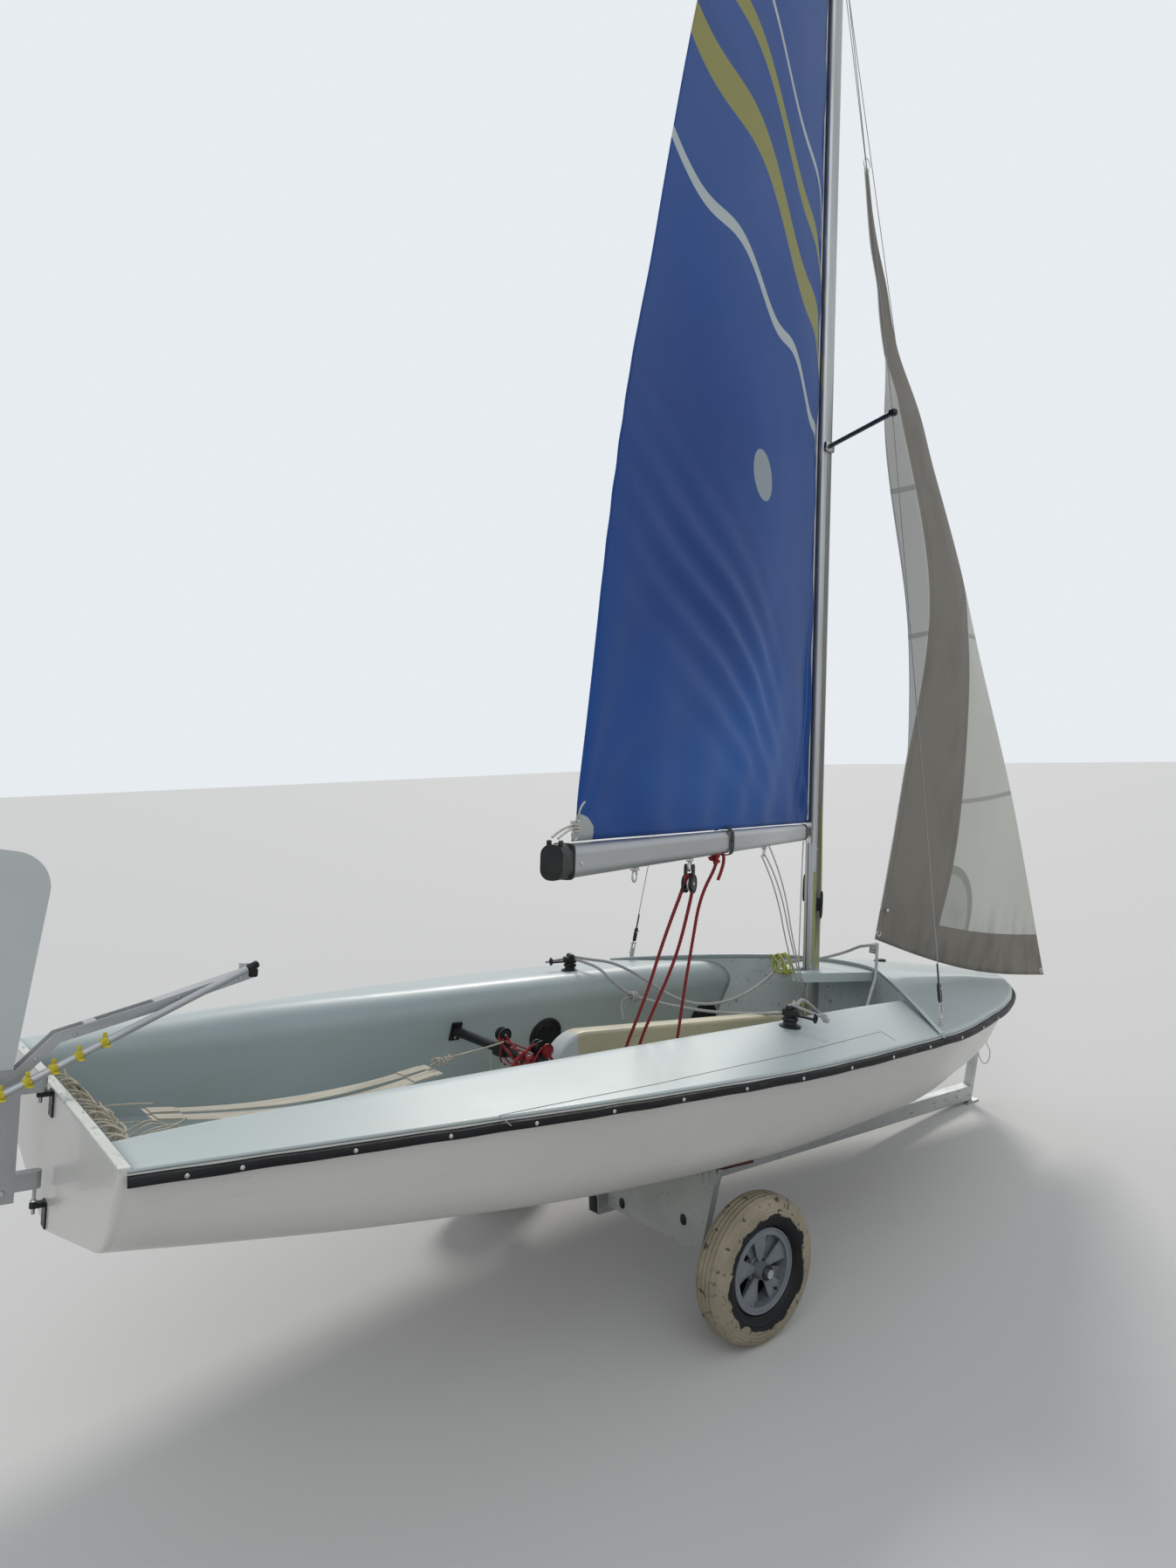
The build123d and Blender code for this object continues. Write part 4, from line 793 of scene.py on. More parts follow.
# Toe straps: two bands of stiff beige webbing along the floor, sewn where they double back, tied
# with cord to the transom aft and to the traveller in front.
strap_finish = finish("webbing", (0.50, 0.47, 0.39), (0.40, 0.37, 0.30), 9, 0.75, drift=0.08)
raised(patches(strap_finish, 300, 0.2, 0.8, (0.15, 2, 1)), 0.0006)
over(patches(strap_finish, 30, 0.5, 0.7, (0.2, 4, 1)) * 0.5, (0.22, 0.20, 0.16))


def run_of(line):
    """Length along a line up to each of its points."""
    return np.concatenate([[0], np.cumsum(np.linalg.norm(np.diff(line, axis=0), axis=1))])


def smooth_line(points, step):
    """Points about `step` apart on the quadratic B-spline that a few control points give: each run
    bends from one run's middle to the next, and the ends touch the first and last point."""
    points = np.asarray(points, float)
    joints = np.concatenate([points[:1], (points[1:-2] + points[2:-1]) / 2, points[-1:]])
    t = np.linspace(0, 1, 24, endpoint=False)[:, None, None]
    line = (1 - t) ** 2 * joints[:-1] + 2 * t * (1 - t) * points[1:-1] + t * t * joints[1:]
    line = np.concatenate([line.transpose(1, 0, 2).reshape(-1, 3), joints[-1:]])
    run = run_of(line)
    even = np.linspace(0, run[-1], max(4, int(run[-1] / step)))
    return np.stack([np.interp(even, run, line[:, k]) for k in range(3)], -1)


def laid_rope(name, points, diameter, strands=3, lay=3.5, sides=12, smooth=True, shared=False):
    """Rope through control points: strands that turn round its line once in `lay` diameters."""
    line = smooth_line(points, diameter * 0.55) if smooth else np.asarray(points, float)
    line = placed(line, shared)
    angle = np.linspace(0, 2 * np.pi, sides, endpoint=False)[None]
    twist = 2 * np.pi * run_of(line)[:, None] / (lay * diameter)
    radius = diameter / 2 * (0.84 + 0.16 * np.abs(np.cos(strands * (angle - twist) / 2)))
    profile = np.stack([radius * np.cos(angle), radius * np.sin(angle)], -1)
    return surface(name, carried(line, profile, None), closed=True, crease=80)


def ropes(diameter, lines, **kind):
    """Several ropes of one kind, each given as its name and points."""
    return [laid_rope(name, points, diameter, **kind) for name, points in lines]


def rope_finish(name, shade, other):
    """Fibrous matt cord."""
    return finish(name, shade, other, 190, 0.82, bump=0.0003, grain=900, drift=0.06)


def course(x, y, z):
    """Points whose coordinates are given apart, as numbers or rows of them."""
    return np.stack(np.broadcast_arrays(x, y, z), -1)


def hoop(centre, radius, first, second, steps=33):
    """Points once round a circle in the plane of two directions."""
    turn = np.linspace(0, 2 * np.pi, steps)[:, None]
    return np.asarray(centre) + radius * (np.cos(turn) * first + np.sin(turn) * second)


def wire_ring(name, points, thick, shared=False):
    """Smooth ring of round wire."""
    return laid_rope(name, points, thick, strands=0, smooth=False, shared=shared)


beige_cord = rope_finish("beige_cord", (0.52, 0.48, 0.38), (0.36, 0.33, 0.26))
strap_t = np.linspace(0, 1, 70)
strap_half, strap_thick = 0.0245, 0.0013
rim_y = np.linspace(-strap_half, strap_half, 7)
rim = np.array([(y, way * strap_thick) for way in (1, -1) for y in way * rim_y])
straps = []
for k, (middle, bow) in enumerate(((0.032, 0.034), (-0.032, 0.038))):
    strap_path = course(0.198 + 0.802 * strap_t, middle + 0.004 * np.sin(5 * strap_t + k),
                        0.353 + 0.020 * strap_t - bow * np.sin(np.pi * strap_t))
    twist = 0.05 * np.sin(9 * strap_t + 2 * k)[:, None]
    turned_rim = np.stack([rim[:, 0] * np.cos(twist) - rim[:, 1] * np.sin(twist),
                           rim[:, 0] * np.sin(twist) + rim[:, 1] * np.cos(twist)], -1)
    straps.append(surface("strap", aboard(carried(strap_path, turned_rim)), closed=True, crease=60))
    for first, last in ((1, 8), (61, 68)):
        fold = carried(strap_path[first:last] + (0, 0, 0.0030), turned_rim[first:last] * 0.96)
        straps.append(surface("doubled_end", aboard(fold), closed=True, crease=60))
joined("floor_straps", straps, strap_finish, "boat", "webbing", "toe_straps")
knot_share = np.linspace(0, 1, 40)
knot_turn = 6 * np.pi * knot_share
strap_ties = ropes(0.005, [("tie", [
    (0.205, 0.02 - 0.04 * k, low + 0.006), (0.14, 0.03 - 0.03 * k, low + 0.01),
    (0.06, 0.05 + 0.02 * k, high + 0.02), (0.012, 0.06 + 0.03 * k, high - 0.02)])
    for k, (low, high) in enumerate(((0.325, 0.30), (0.379, 0.345)))])
strap_ties += ropes(0.005, [
    ("front_tie", [(0.99, 0.0, 0.383), (1.03, 0.006, 0.398), (1.10, 0.0, 0.406), (1.20, 0.03, 0.408),
                   (1.315, 0.10, 0.400)]),
    ("front_tie", [(0.995, 0.01, 0.381), (1.04, -0.01, 0.392), (1.09, 0.01, 0.404), (1.21, 0.045, 0.402),
                   (1.32, 0.12, 0.392)]),
    ("knot", course(1.00 + 0.055 * knot_share + 0.006 * np.sin(knot_turn * 0.7),
                    0.013 * np.cos(knot_turn), 0.392 + 0.011 * np.sin(knot_turn)))])
strap_ties += ropes(0.0045, [
    ("knot_tail", [(1.055, 0.012, 0.40), (1.075, 0.03, 0.405), (1.085, 0.045, 0.385), (1.07, 0.05, 0.36)])])
strap_ties += ropes(0.004, [
    ("drop", [(1.33, y, 0.345), (1.325, y - 0.01, 0.30), (1.33, y - 0.005, 0.26), (1.34, y, 0.22)])
    for y in (0.19, 0.12)])
joined("strap_ties", strap_ties, beige_cord, "boat", "webbing")

# Transom lashing: a tangle of old cord, wound to and fro along the inside of the transom as a net
# that the straps are tied to.
rng = np.random.default_rng(7)
lashings = []
share = np.linspace(0, 1, 15)
for k in range(9):
    y = 0.19 - 0.60 * share + 0.02 * rng.standard_normal(15)
    z = 0.432 - 0.03 * np.sin(share * np.pi) - 0.007 * k / 2 + 0.012 * rng.standard_normal(15)
    x = 0.038 + 0.040 * np.sin(share * np.pi) + 0.014 * rng.random(15)
    lashings.append(laid_rope("lashing", course(x, y, z), 0.0055, sides=8))
for k in range(16):
    y = 0.16 - 0.036 * k
    wave = 0.02 * rng.standard_normal(4)
    lashings.append(laid_rope("net", [
        (0.012, y, 0.43), (0.03, y + wave[0], 0.437 + wave[1] / 3), (0.070, y + wave[2], 0.415),
        (0.075, y + wave[3], 0.375), (0.05, y - 0.03, 0.35 + wave[0] / 2)], 0.005, sides=8))
for k, y in enumerate((-0.30, -0.34, -0.36, -0.39)):
    lashings.append(laid_rope("net_end", [
        (0.05, y, 0.40), (0.09, y - 0.01, 0.432 + 0.01 * (k % 2)), (0.14, y + 0.03, 0.425),
        (0.19, y + 0.05 + 0.01 * k, 0.39 + 0.012 * k)], 0.004, sides=8))
joined("transom_lashing", lashings, beige_cord, "boat", "webbing")

# Jib cleats: swivelling cam cleats on the side tanks, a drum on a base plate with two cams, and an
# arm with a fairlead eye that points outboard.
cleat_x, cleat_half = 1.930, 0.560
arm_ways = {"port": (-0.95, 0.31, 0.0), "starboard": (0.35, -0.94, 0.0)}
drum_profile = [
    (0.034, -0.004), (0.034, 0.003), (0.030, 0.006), (0.022, 0.008), (0.020, 0.016), (0.025, 0.019),
    (0.026, 0.024), (0.024, 0.028), (0.016, 0.030), (0.015, 0.034)]
arm_profile = [(-0.008, -0.003), (-0.008, 0.003), (0.008, 0.003), (0.008, -0.003)]
cleat_metal, cleat_black = [], []
lift = np.array((0, 0, 1.0))
for side, way in sides:
    foot = np.array((cleat_x, way * cleat_half, on_tank(cleat_x, cleat_half, 60)))
    arm_way = np.array(arm_ways[side])
    beside = np.array((-arm_way[1], arm_way[0], 0.0))
    base = aboard(foot)
    cleat_black += [
        lathed("plate", drum_profile, base, aboard(foot + lift) - base, 40),
        soft_block("body", foot + lift * 0.044 + arm_way * 0.002, (0.050, 0.036, 0.024),
                   (arm_way, beside, lift))]
    for gap in (-0.013, 0.013):
        at = foot + lift * 0.052 + beside * gap
        cleat_black.append(bar("cam", at, at + lift * 0.014, 0.012, 22))
        cleat_metal.append(bar("pin", at + lift * 0.012, at + lift * 0.018, 0.0035))
    arm_line = smooth_line([foot + lift * 0.036 + arm_way * 0.01, foot + lift * 0.036 + arm_way * 0.045,
                            foot + lift * 0.032 + arm_way * 0.075], 0.006)
    eye = hoop(foot + lift * 0.036 + arm_way * 0.080, 0.012, beside, lift)
    cleat_black += [surface("arm", aboard(carried(arm_line, arm_profile)), closed=True),
                    laid_rope("eye", eye, 0.008, smooth=False)]
joined("jib_cam_cleats", cleat_black, black_finish, "boat", "black_plastic", "jib_cleats")
joined("cleat_pins", cleat_metal, steel_finish, "boat", "stainless")

# Mast: extruded aluminium tube with the luff groove aft, dulled by salt and streaked where the
# halyards have rubbed it, with its hounds, spreader roots, rivets and halyard cleats.
mast_rake = math.radians(1.85)
heel = np.array((2.722 + 0.516 * math.tan(mast_rake), 0, 0.036))
mast_along = np.array((-math.sin(mast_rake), 0, math.cos(mast_rake)))
mast_fore = np.array((math.cos(mast_rake), 0, math.sin(mast_rake)))
spreader_height, spreader_sweep = 2.634, math.radians(17.5)
silver_finish = finish("anodised_silver", (0.60, 0.61, 0.62), (0.48, 0.49, 0.50), 8, 0.36, metal=1.0,
                       bump=0.0002, grain=120, stretch=(1, 1, 0.1))
mast_finish = finish("mast_tube", (0.46, 0.47, 0.47), (0.36, 0.37, 0.37), 10, 0.38, metal=0.9,
                     bump=0.0002, grain=150, stretch=(1, 1, 0.06))
over(patches(mast_finish, 40, 0.55, 0.70, (1, 1, 0.04)) * 0.35, (0.34, 0.33, 0.25), 0.5)
dark_metal = finish("dark_metal", (0.16, 0.16, 0.165), (0.10, 0.10, 0.105), 30, 0.42, metal=0.8)


def on_mast(fore, athwart, height):
    """Boat point ahead of the mast's axis, to port of it and up it from the heel."""
    fore, athwart, height = (np.asarray(v, float)[..., None] for v in (fore, athwart, height))
    return heel + fore * mast_fore + athwart * np.array((0, 1.0, 0)) + height * mast_along


def up_mast(*places):
    """Several such points."""
    return [on_mast(*place) for place in places]


def on_spreader(out, side):
    """Boat point on a spreader's line."""
    return on_mast(-math.sin(spreader_sweep) * out, side * math.cos(spreader_sweep) * out, spreader_height)


painted(mast_finish, "mast")
painted(silver_finish, "mast_step")
painted(dark_metal, "spreaders")
painted(steel_finish, "gooseneck")
mast_bits = [soft_block("halyard_exit", on_mast(0.036, 0, 4.60), (0.006, 0.016, 0.06))]
mast_black = [soft_block("masthead_cap", on_mast(0, 0, 6.202), (0.072, 0.058, 0.008))]
for side, cleat_height in ((1, 0.86), (-1, 0.80)):
    root = on_mast(-0.004, side * 0.031, spreader_height)
    mast_bits += [soft_block("hound", on_mast(0.004, side * 0.0285, 4.716), (0.03, 0.006, 0.07)),
                  soft_block("spreader_root", root, (0.05, 0.018, 0.04))]
    for height in (1.02, 1.16):
        at = on_mast(-0.01, side * 0.0275, height)
        mast_bits.append(soft_block("rivet", at, (0.009, 0.004, 0.009), roundness=0.8))
    at = on_mast(0.0, side * 0.034, cleat_height)
    mast_black += [
        soft_block("tip", on_spreader(0.437, side), (0.028, 0.030, 0.024), roundness=0.6),
        soft_block("cleat_base", at, (0.016, 0.010, 0.05)),
        soft_block("cleat_horns", at + (0, side * 0.010, 0), (0.012, 0.010, 0.11), roundness=0.6)]
joined("mast_fittings", mast_bits, steel_finish, "boat", "stainless")
joined("mast_plastic", mast_black, black_finish, "boat", "black_plastic")

# Standing wires: stranded stainless wire from the hounds over the spreaders to the chainplates, and
# to the stem. Each shroud ends in a black adjuster plate with pins and a shackle.
wire_finish = finish("wire", (0.20, 0.20, 0.20), (0.30, 0.30, 0.30), 600, 0.40, metal=0.8,
                     bump=0.0003, grain=1500, stretch=(1, 1, 0.3))
painted(wire_finish, "shrouds", "forestay")
painted(steel_finish, "chainplates", "stem_fitting")
rig_black, rig_metal = [], []
for side in (1, -1):
    base = np.array((2.436, side * 0.766, 0.545))
    run = unit(on_spreader(0.435, side) - base)
    fore = unit(np.array((1.0, 0, 0)) - run * run[0])
    across = np.cross(run, fore)
    for gap in (-0.006, 0.006):
        rig_metal.append(soft_block("shackle_leg", base + run * 0.022 + fore * gap * 1.6,
                                    (0.005, 0.005, 0.052), (fore, across, run), 0.7))
    rig_metal += [pin("shackle_pin", base + run * 0.044, fore * 0.015, 0.0035),
                  pin("clevis", base + run * 0.002, fore * 0.014, 0.004),
                  pin("adjuster_pin", base + run * 0.094, across * 0.008, 0.0035),
                  bar("adjuster_arm", base + run * 0.098, base + run * 0.098 + fore * 0.018, 0.003)]
    rig_black += [
        soft_block("adjuster", base + run * 0.082, (0.017, 0.008, 0.062), (fore, across, run), 0.35),
        bar("swage", base + run * 0.110, base + run * 0.175, 0.003)]
deck_z = float(deck_skin(np.array([3.327]), np.array([0.1 / 0.52]))[0, 2])
rig_black.append(soft_block("deck_fitting", (3.327, 0.10, deck_z + 0.004), (0.070, 0.036, 0.016),
                            roundness=0.8))
joined("shroud_adjusters", rig_black, black_finish, "boat", "black_plastic")
joined("shroud_shackles", rig_metal, steel_finish, "boat", "stainless")

# Boom: drawn aluminium tube with the foot's slot on top, black end caps, two turns of dark webbing
# round it, bails and the sheave block for the mainsheet.
boom_angle = math.radians(28.3)
hinge = heel - 0.052 * mast_fore + 1.090 * mast_along
boom_along = -math.cos(boom_angle) * mast_fore - np.array((0, math.sin(boom_angle), 0))
boom_beside = math.sin(boom_angle) * mast_fore - np.array((0, math.cos(boom_angle), 0))
boom_axes = (boom_along, boom_beside, mast_along)
vang_at, block_along = 0.715, 1.543


def by_boom(along, beside, height):
    """Boat point by its distance aft along the boom, to starboard of it and up the mast."""
    along, beside, height = np.broadcast_arrays(*(np.asarray(v, float) for v in (along, beside, height)))
    return (hinge + along[..., None] * boom_along + beside[..., None] * boom_beside
            + height[..., None] * mast_along)


def down_boom(*places):
    """Several such points."""
    return [by_boom(*place) for place in places]


boom_finish = finish("boom_tube", (0.44, 0.45, 0.46), (0.36, 0.37, 0.38), 6, 0.34, metal=0.9,
                     bump=0.0001, grain=120, drift=0.05, stretch=(0.1, 0.1, 1))
painted(boom_finish, "boom")
painted(black_finish, "boom_caps")
painted(steel_finish, "boom_tongue")
block_at = by_boom(block_along, 0, -0.098)
boom_black = [soft_block("cap_lip", by_boom(2.334, 0, 0), (0.010, 0.049, 0.069), boom_axes, 0.35)]
for y in (0.012, -0.012):
    boom_black.append(soft_block("cap_ear", by_boom(2.372, y, 0.035), (0.014, 0.007, 0.012), boom_axes, 0.6))
for gap in (-0.010, 0.010):
    boom_black += [
        pin("block_cheek", block_at + boom_beside * gap, boom_beside * 0.003, 0.024, 30),
        soft_block("block_strap", block_at + mast_along * 0.026 + boom_beside * gap,
                   (0.020, 0.006, 0.050), boom_axes, 0.4)]
boom_metal = [pin("block_sheave", block_at, boom_beside * 0.0065, 0.018, 28),
              pin("block_pin", block_at, boom_beside * 0.015, 0.004)]
for at in (2.30, 1.02, 0.42):
    boom_metal.append(soft_block("rivet", by_boom(at, 0.0235, -0.005), (0.010, 0.004, 0.010), boom_axes, 0.8))
for at in (block_along, 1.95, vang_at):
    bail = hoop(by_boom(at, 0, -0.052), 0.013, boom_along, mast_along, 30)
    boom_metal += [
        soft_block("bail_foot", by_boom(at, 0, -0.036), (0.020, 0.018, 0.010), boom_axes, 0.5),
        laid_rope("bail", bail, 0.005, smooth=False)]
joined("mainsheet_block", boom_black, black_finish, "boom", "black_plastic", "boom_block")
joined("boom_metal", boom_metal, steel_finish, "boom", "stainless")
strop_turn = np.linspace(0, 2 * np.pi, 49)
strop_yz = np.stack([np.cos(strop_turn), np.sin(strop_turn)])
strop_y, strop_z = np.sign(strop_yz) * np.abs(strop_yz) ** 0.5 * [[0.0265], [0.037]]
strops = []
for at, wide in ((1.215, 0.020), (1.235, 0.008)):
    grid = by_boom(at + np.array((-wide / 2, -wide / 2 + 0.002, wide / 2 - 0.002, wide / 2))[:, None],
                   strop_y * np.array((1, 1.05, 1.05, 1))[:, None],
                   strop_z * np.array((1, 1.04, 1.04, 1))[:, None])
    strops.append(surface("strop", aboard(grid), inside=tuple(aboard(by_boom(at, 0, 0))), crease=70))
strop = walled(together("boom_strop", strops), 0.0015, 0.0)
dark_webbing = finish("dark_webbing", (0.03, 0.03, 0.034), (0.06, 0.06, 0.062), 60, 0.8,
                      bump=0.0003, grain=500)
dressed(strop, dark_webbing, "boom", "webbing")

# Outhaul: thin pale cord from the clew's eye back to the boom's end cap.
pale_cord = rope_finish("pale_cord", (0.56, 0.55, 0.51), (0.38, 0.37, 0.34))
eye_at = by_boom(2.285, 0, 0.062)
outhaul = ropes(0.005, [
    ("line", [eye_at, *down_boom((2.33, 0.004, 0.058), (2.372, 0.006, 0.044))]),
    ("line", [eye_at + mast_along * 0.006, *down_boom((2.33, -0.006, 0.062), (2.372, -0.006, 0.046))]),
    ("turns", by_boom(2.285 + 0.008 * np.cos(knot_turn), 0.012 * np.sin(knot_turn * 1.1),
                      0.055 + 0.020 * knot_share))])
outhaul += ropes(0.004, [("tail", down_boom((2.28, 0.006, 0.08), (2.30, 0.014, 0.10), (2.285, 0.02, 0.112)))])
joined("outhaul", outhaul, pale_cord, "boom", "webbing")

# Mainsheet: red braid, made fast to a becket on the boom, down to the traveller, up through the
# boom's block and down again, so slack that its three parts hang in bows.
red_rope = rope_finish("red_braid", (0.30, 0.016, 0.020), (0.16, 0.010, 0.014))
sheet_thick = 0.010
sheet_path = [
    *down_boom((1.335, 0.012, -0.020), (1.322, 0.018, -0.045)), (1.524, -0.547, 0.929),
    (1.584, -0.465, 0.784), (1.642, -0.382, 0.630), (1.703, -0.300, 0.455), (1.710, -0.260, 0.250),
    (1.620, -0.220, 0.100), (1.480, -0.170, 0.085), (1.400, -0.100, 0.180), (1.365, 0.060, 0.330),
    (1.352, 0.160, 0.425), (1.322, 0.150, 0.400), (1.335, 0.060, 0.350), (1.365, -0.060, 0.250),
    (1.450, -0.180, 0.150), (1.535, -0.260, 0.230), (1.536, -0.300, 0.448), (1.522, -0.380, 0.580),
    (1.502, -0.460, 0.697), (1.458, -0.540, 0.789), (1.404, -0.620, 0.885),
    block_at + (0.022, 0.004, 0.002), block_at + (0.012, 0, 0.024), block_at + (-0.014, 0, 0.022),
    block_at + (-0.022, -0.004, -0.004), (1.340, -0.620, 0.865), (1.382, -0.540, 0.770),
    (1.425, -0.460, 0.667), (1.460, -0.380, 0.562), (1.486, -0.300, 0.448), (1.480, -0.240, 0.260),
    (1.420, -0.140, 0.270), (1.372, -0.060, 0.405), (1.330, -0.045, 0.425), (1.300, -0.045, 0.398),
    (1.262, -0.050, 0.385), (1.210, -0.075, 0.340), (1.180, -0.110, 0.240), (1.160, -0.150, 0.120),
    (1.140, -0.190, 0.065)]
red_turns = [laid_rope("mainsheet_rope", sheet_path, sheet_thick, lay=5.0)]
red_turns += ropes(sheet_thick, [
    ("becket_knot", by_boom(1.318 + 0.006 * np.cos(knot_turn * 1.3), 0.014 * np.sin(knot_turn),
                            -0.055 + 0.045 * knot_share)),
    ("becket_tail", down_boom((1.300, 0.012, -0.020), (1.270, 0.016, -0.030), (1.262, 0.012, -0.070),
                              (1.285, 0.004, -0.105)))])
mainsheet = joined("mainsheet", red_turns, red_rope, None, "webbing")
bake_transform(mainsheet)
red_loops = ropes(0.006, [("loop", points) for points in (
    [(1.352, 0.150, 0.392), (1.325, 0.10, 0.400), (1.322, 0.03, 0.404), (1.330, -0.03, 0.398)],
    [(1.356, 0.150, 0.345), (1.322, 0.09, 0.338), (1.318, 0.02, 0.340), (1.322, -0.04, 0.350)],
    [(1.33, 0.125, 0.405), (1.315, 0.115, 0.37), (1.318, 0.118, 0.33), (1.345, 0.125, 0.318)],
    [(1.335, -0.075, 0.41), (1.30, -0.085, 0.38), (1.29, -0.09, 0.33), (1.315, -0.095, 0.30)],
    [(1.300, -0.07, 0.40), (1.27, -0.02, 0.41), (1.29, 0.03, 0.40), (1.33, 0.05, 0.395)])])
joined("traveller_lines", red_loops, red_rope, "boat", "webbing")

# Vang and halyards: thin pale lines from the boom to the mast's foot, and halyards down the mast,
# the yellow ones coiled over the shelf and at the heel.
yellow_rope = rope_finish("yellow_rope", (0.40, 0.42, 0.06), (0.24, 0.27, 0.05))
grey_rope = rope_finish("grey_braid", (0.47, 0.47, 0.45), (0.26, 0.265, 0.26))
vang_foot = np.array((2.700, -0.020, 0.400))
vang = joined("vang", ropes(0.005, [
    ("vang", [by_boom(vang_at, 0.004, -0.062), (2.20, -0.26, 0.95), (2.45, -0.13, 0.66), vang_foot]),
    ("vang", [by_boom(0.735, -0.004, -0.062), (2.185, -0.26, 0.93), (2.44, -0.12, 0.64),
              vang_foot + (0, 0.012, 0)]),
    ("vang", [by_boom(0.640, 0.0, -0.036), (2.26, -0.23, 0.95), (2.47, -0.12, 0.66),
              vang_foot + (0, -0.012, 0)])]), pale_cord, None, "webbing")
tuple(aboard(by_boom(vang_at, 0, -0.055)))
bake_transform(vang)
halyard_thick = 0.006
coil_turn = np.linspace(0, 2 * np.pi, 14)
yellow_parts = ropes(halyard_thick, [("halyard", up_mast(*places)) for places in (
    ((0.0, -0.034, 1.20), (0.01, -0.036, 0.9), (0.0, -0.035, 0.62), (-0.02, -0.040, 0.545)),
    ((0.006, 0.034, 4.6), (0.008, 0.034, 2.4), (0.004, 0.035, 0.9)),
    ((-0.026, -0.031, 0.93), (-0.028, -0.034, 0.7), (-0.03, -0.036, 0.56)))])
for k in range(7):
    wide, tall = 0.042 + 0.016 * rng.random(), 0.026 + 0.014 * rng.random()
    yellow_parts.append(laid_rope("coil", course(
        2.545 + 0.015 * rng.standard_normal() + 0.018 * np.cos(coil_turn) + 0.006 * k,
        0.012 + wide * np.cos(coil_turn + 0.4 * rng.standard_normal()),
        0.605 + tall * np.sin(coil_turn) - 0.020 * np.abs(np.cos(coil_turn))), halyard_thick))
for k in range(5):
    yellow_parts.append(laid_rope("heel_coil", course(
        2.655 + 0.020 * np.cos(coil_turn) + 0.008 * rng.standard_normal(),
        0.010 * rng.standard_normal() + (0.022 + 0.008 * rng.random()) * np.cos(coil_turn + k),
        0.415 + (0.030 + 0.012 * rng.random()) * np.sin(coil_turn)), halyard_thick))
yellow_parts += ropes(halyard_thick, [
    ("heel_tail", [(2.655, 0.01, 0.40), (2.66, 0.03, 0.30), (2.67, 0.035, 0.18), (2.69, 0.05, 0.06)])])
joined("yellow_halyards", yellow_parts, yellow_rope, "boat", "webbing")
pale_parts = [
    laid_rope("jib_halyard", up_mast(
        (0.038, 0.004, 4.58), (0.075, 0.03, 3.10), (0.088, 0.03, 2.38), (0.080, 0.03, 1.66),
        (0.040, 0.032, 1.05), (0.005, 0.036, 0.84)), 0.0045),
    laid_rope("downhaul", up_mast((-0.03, 0.030, 1.05), (-0.034, 0.034, 0.8), (-0.036, 0.034, 0.40)), 0.005),
    laid_rope("strop_aft", [(2.60, -0.03, 0.56), (2.62, -0.045, 0.46), (2.66, -0.03, 0.40)], 0.006),
    laid_rope("shroud_knot", [(2.401, -0.592, 1.90), (2.40, -0.602, 1.885), (2.405, -0.60, 1.865),
                              (2.42, -0.60, 1.85)], 0.004)]
joined("pale_lines", pale_parts, pale_cord, "boat", "webbing")

# Jib sheets: grey braid tied into the clew. One part leads round the mast to the port cleat and
# sags across the cockpit, the other to the starboard cleat.
jib_sheet_thick = 0.012
jib_sheets = ropes(jib_sheet_thick, [
    ("port_sheet", [
        (2.800, -0.245, 0.700), (2.790, -0.200, 0.690), (2.830, -0.150, 0.680), (2.850, -0.060, 0.640),
        (2.800, 0.040, 0.600), (2.640, 0.075, 0.600), (2.560, 0.040, 0.570), (2.436, 0.050, 0.498),
        (2.341, 0.100, 0.448), (2.271, 0.200, 0.428), (2.219, 0.300, 0.455), (2.143, 0.380, 0.520),
        (2.059, 0.450, 0.568), (1.990, 0.520, 0.572), (1.945, 0.560, 0.578)]),
    ("crossing_sheet", [
        (1.938, 0.560, 0.573), (1.950, 0.480, 0.567), (1.962, 0.405, 0.552), (1.972, 0.355, 0.515),
        (2.054, 0.320, 0.454), (2.192, 0.200, 0.425), (2.300, 0.100, 0.413), (2.480, -0.030, 0.418),
        (2.330, -0.230, 0.475), (2.150, -0.390, 0.555), (2.060, -0.470, 0.570), (1.975, -0.545, 0.575)]),
    ("starboard_sheet", [
        (2.800, -0.250, 0.700), (2.740, -0.300, 0.600), (2.640, -0.340, 0.520), (2.520, -0.400, 0.430),
        (2.340, -0.370, 0.480), (2.180, -0.410, 0.565), (2.060, -0.480, 0.575), (1.980, -0.545, 0.580)]),
    ("clew_knot", course(2.800 + 0.012 * np.cos(knot_turn), -0.238 + 0.014 * np.sin(knot_turn),
                         0.668 + 0.034 * knot_share)),
    ("middle_knot", course(2.045 + 0.03 * knot_share, 0.318 + 0.015 * np.cos(knot_turn),
                           0.455 + 0.015 * np.sin(knot_turn)))], lay=4.0)
joined("jib_sheets", jib_sheets, grey_rope, "boat", "webbing")
bow_cord = laid_rope("bow_cord", [
    (4.020, -0.022, 0.180), (4.040, -0.024, 0.138), (4.075, -0.022, 0.110), (4.090, -0.010, 0.060),
    (4.075, 0.005, 0.036), (4.050, 0.016, 0.060), (4.030, 0.022, 0.120)], 0.003)
dressed(bow_cord, dark_webbing, "boat", "webbing")
sheet_tails = ropes(0.009, [
    ("fairlead_tail", [(1.932, -0.560, 0.590), (1.945, -0.600, 0.582), (1.957, -0.632, 0.574),
                       (1.966, -0.655, 0.568), (1.974, -0.672, 0.556)]),
    ("tail", [(2.055, 0.318, 0.455), (2.025, 0.330, 0.450), (2.005, 0.330, 0.425), (2.000, 0.300, 0.375)]),
    ("tail", [(2.060, 0.320, 0.450), (2.035, 0.330, 0.440), (2.025, 0.325, 0.410)]),
    ("port_tail", [(1.925, 0.575, 0.572), (1.90, 0.59, 0.565), (1.87, 0.60, 0.560), (1.84, 0.60, 0.556)])])
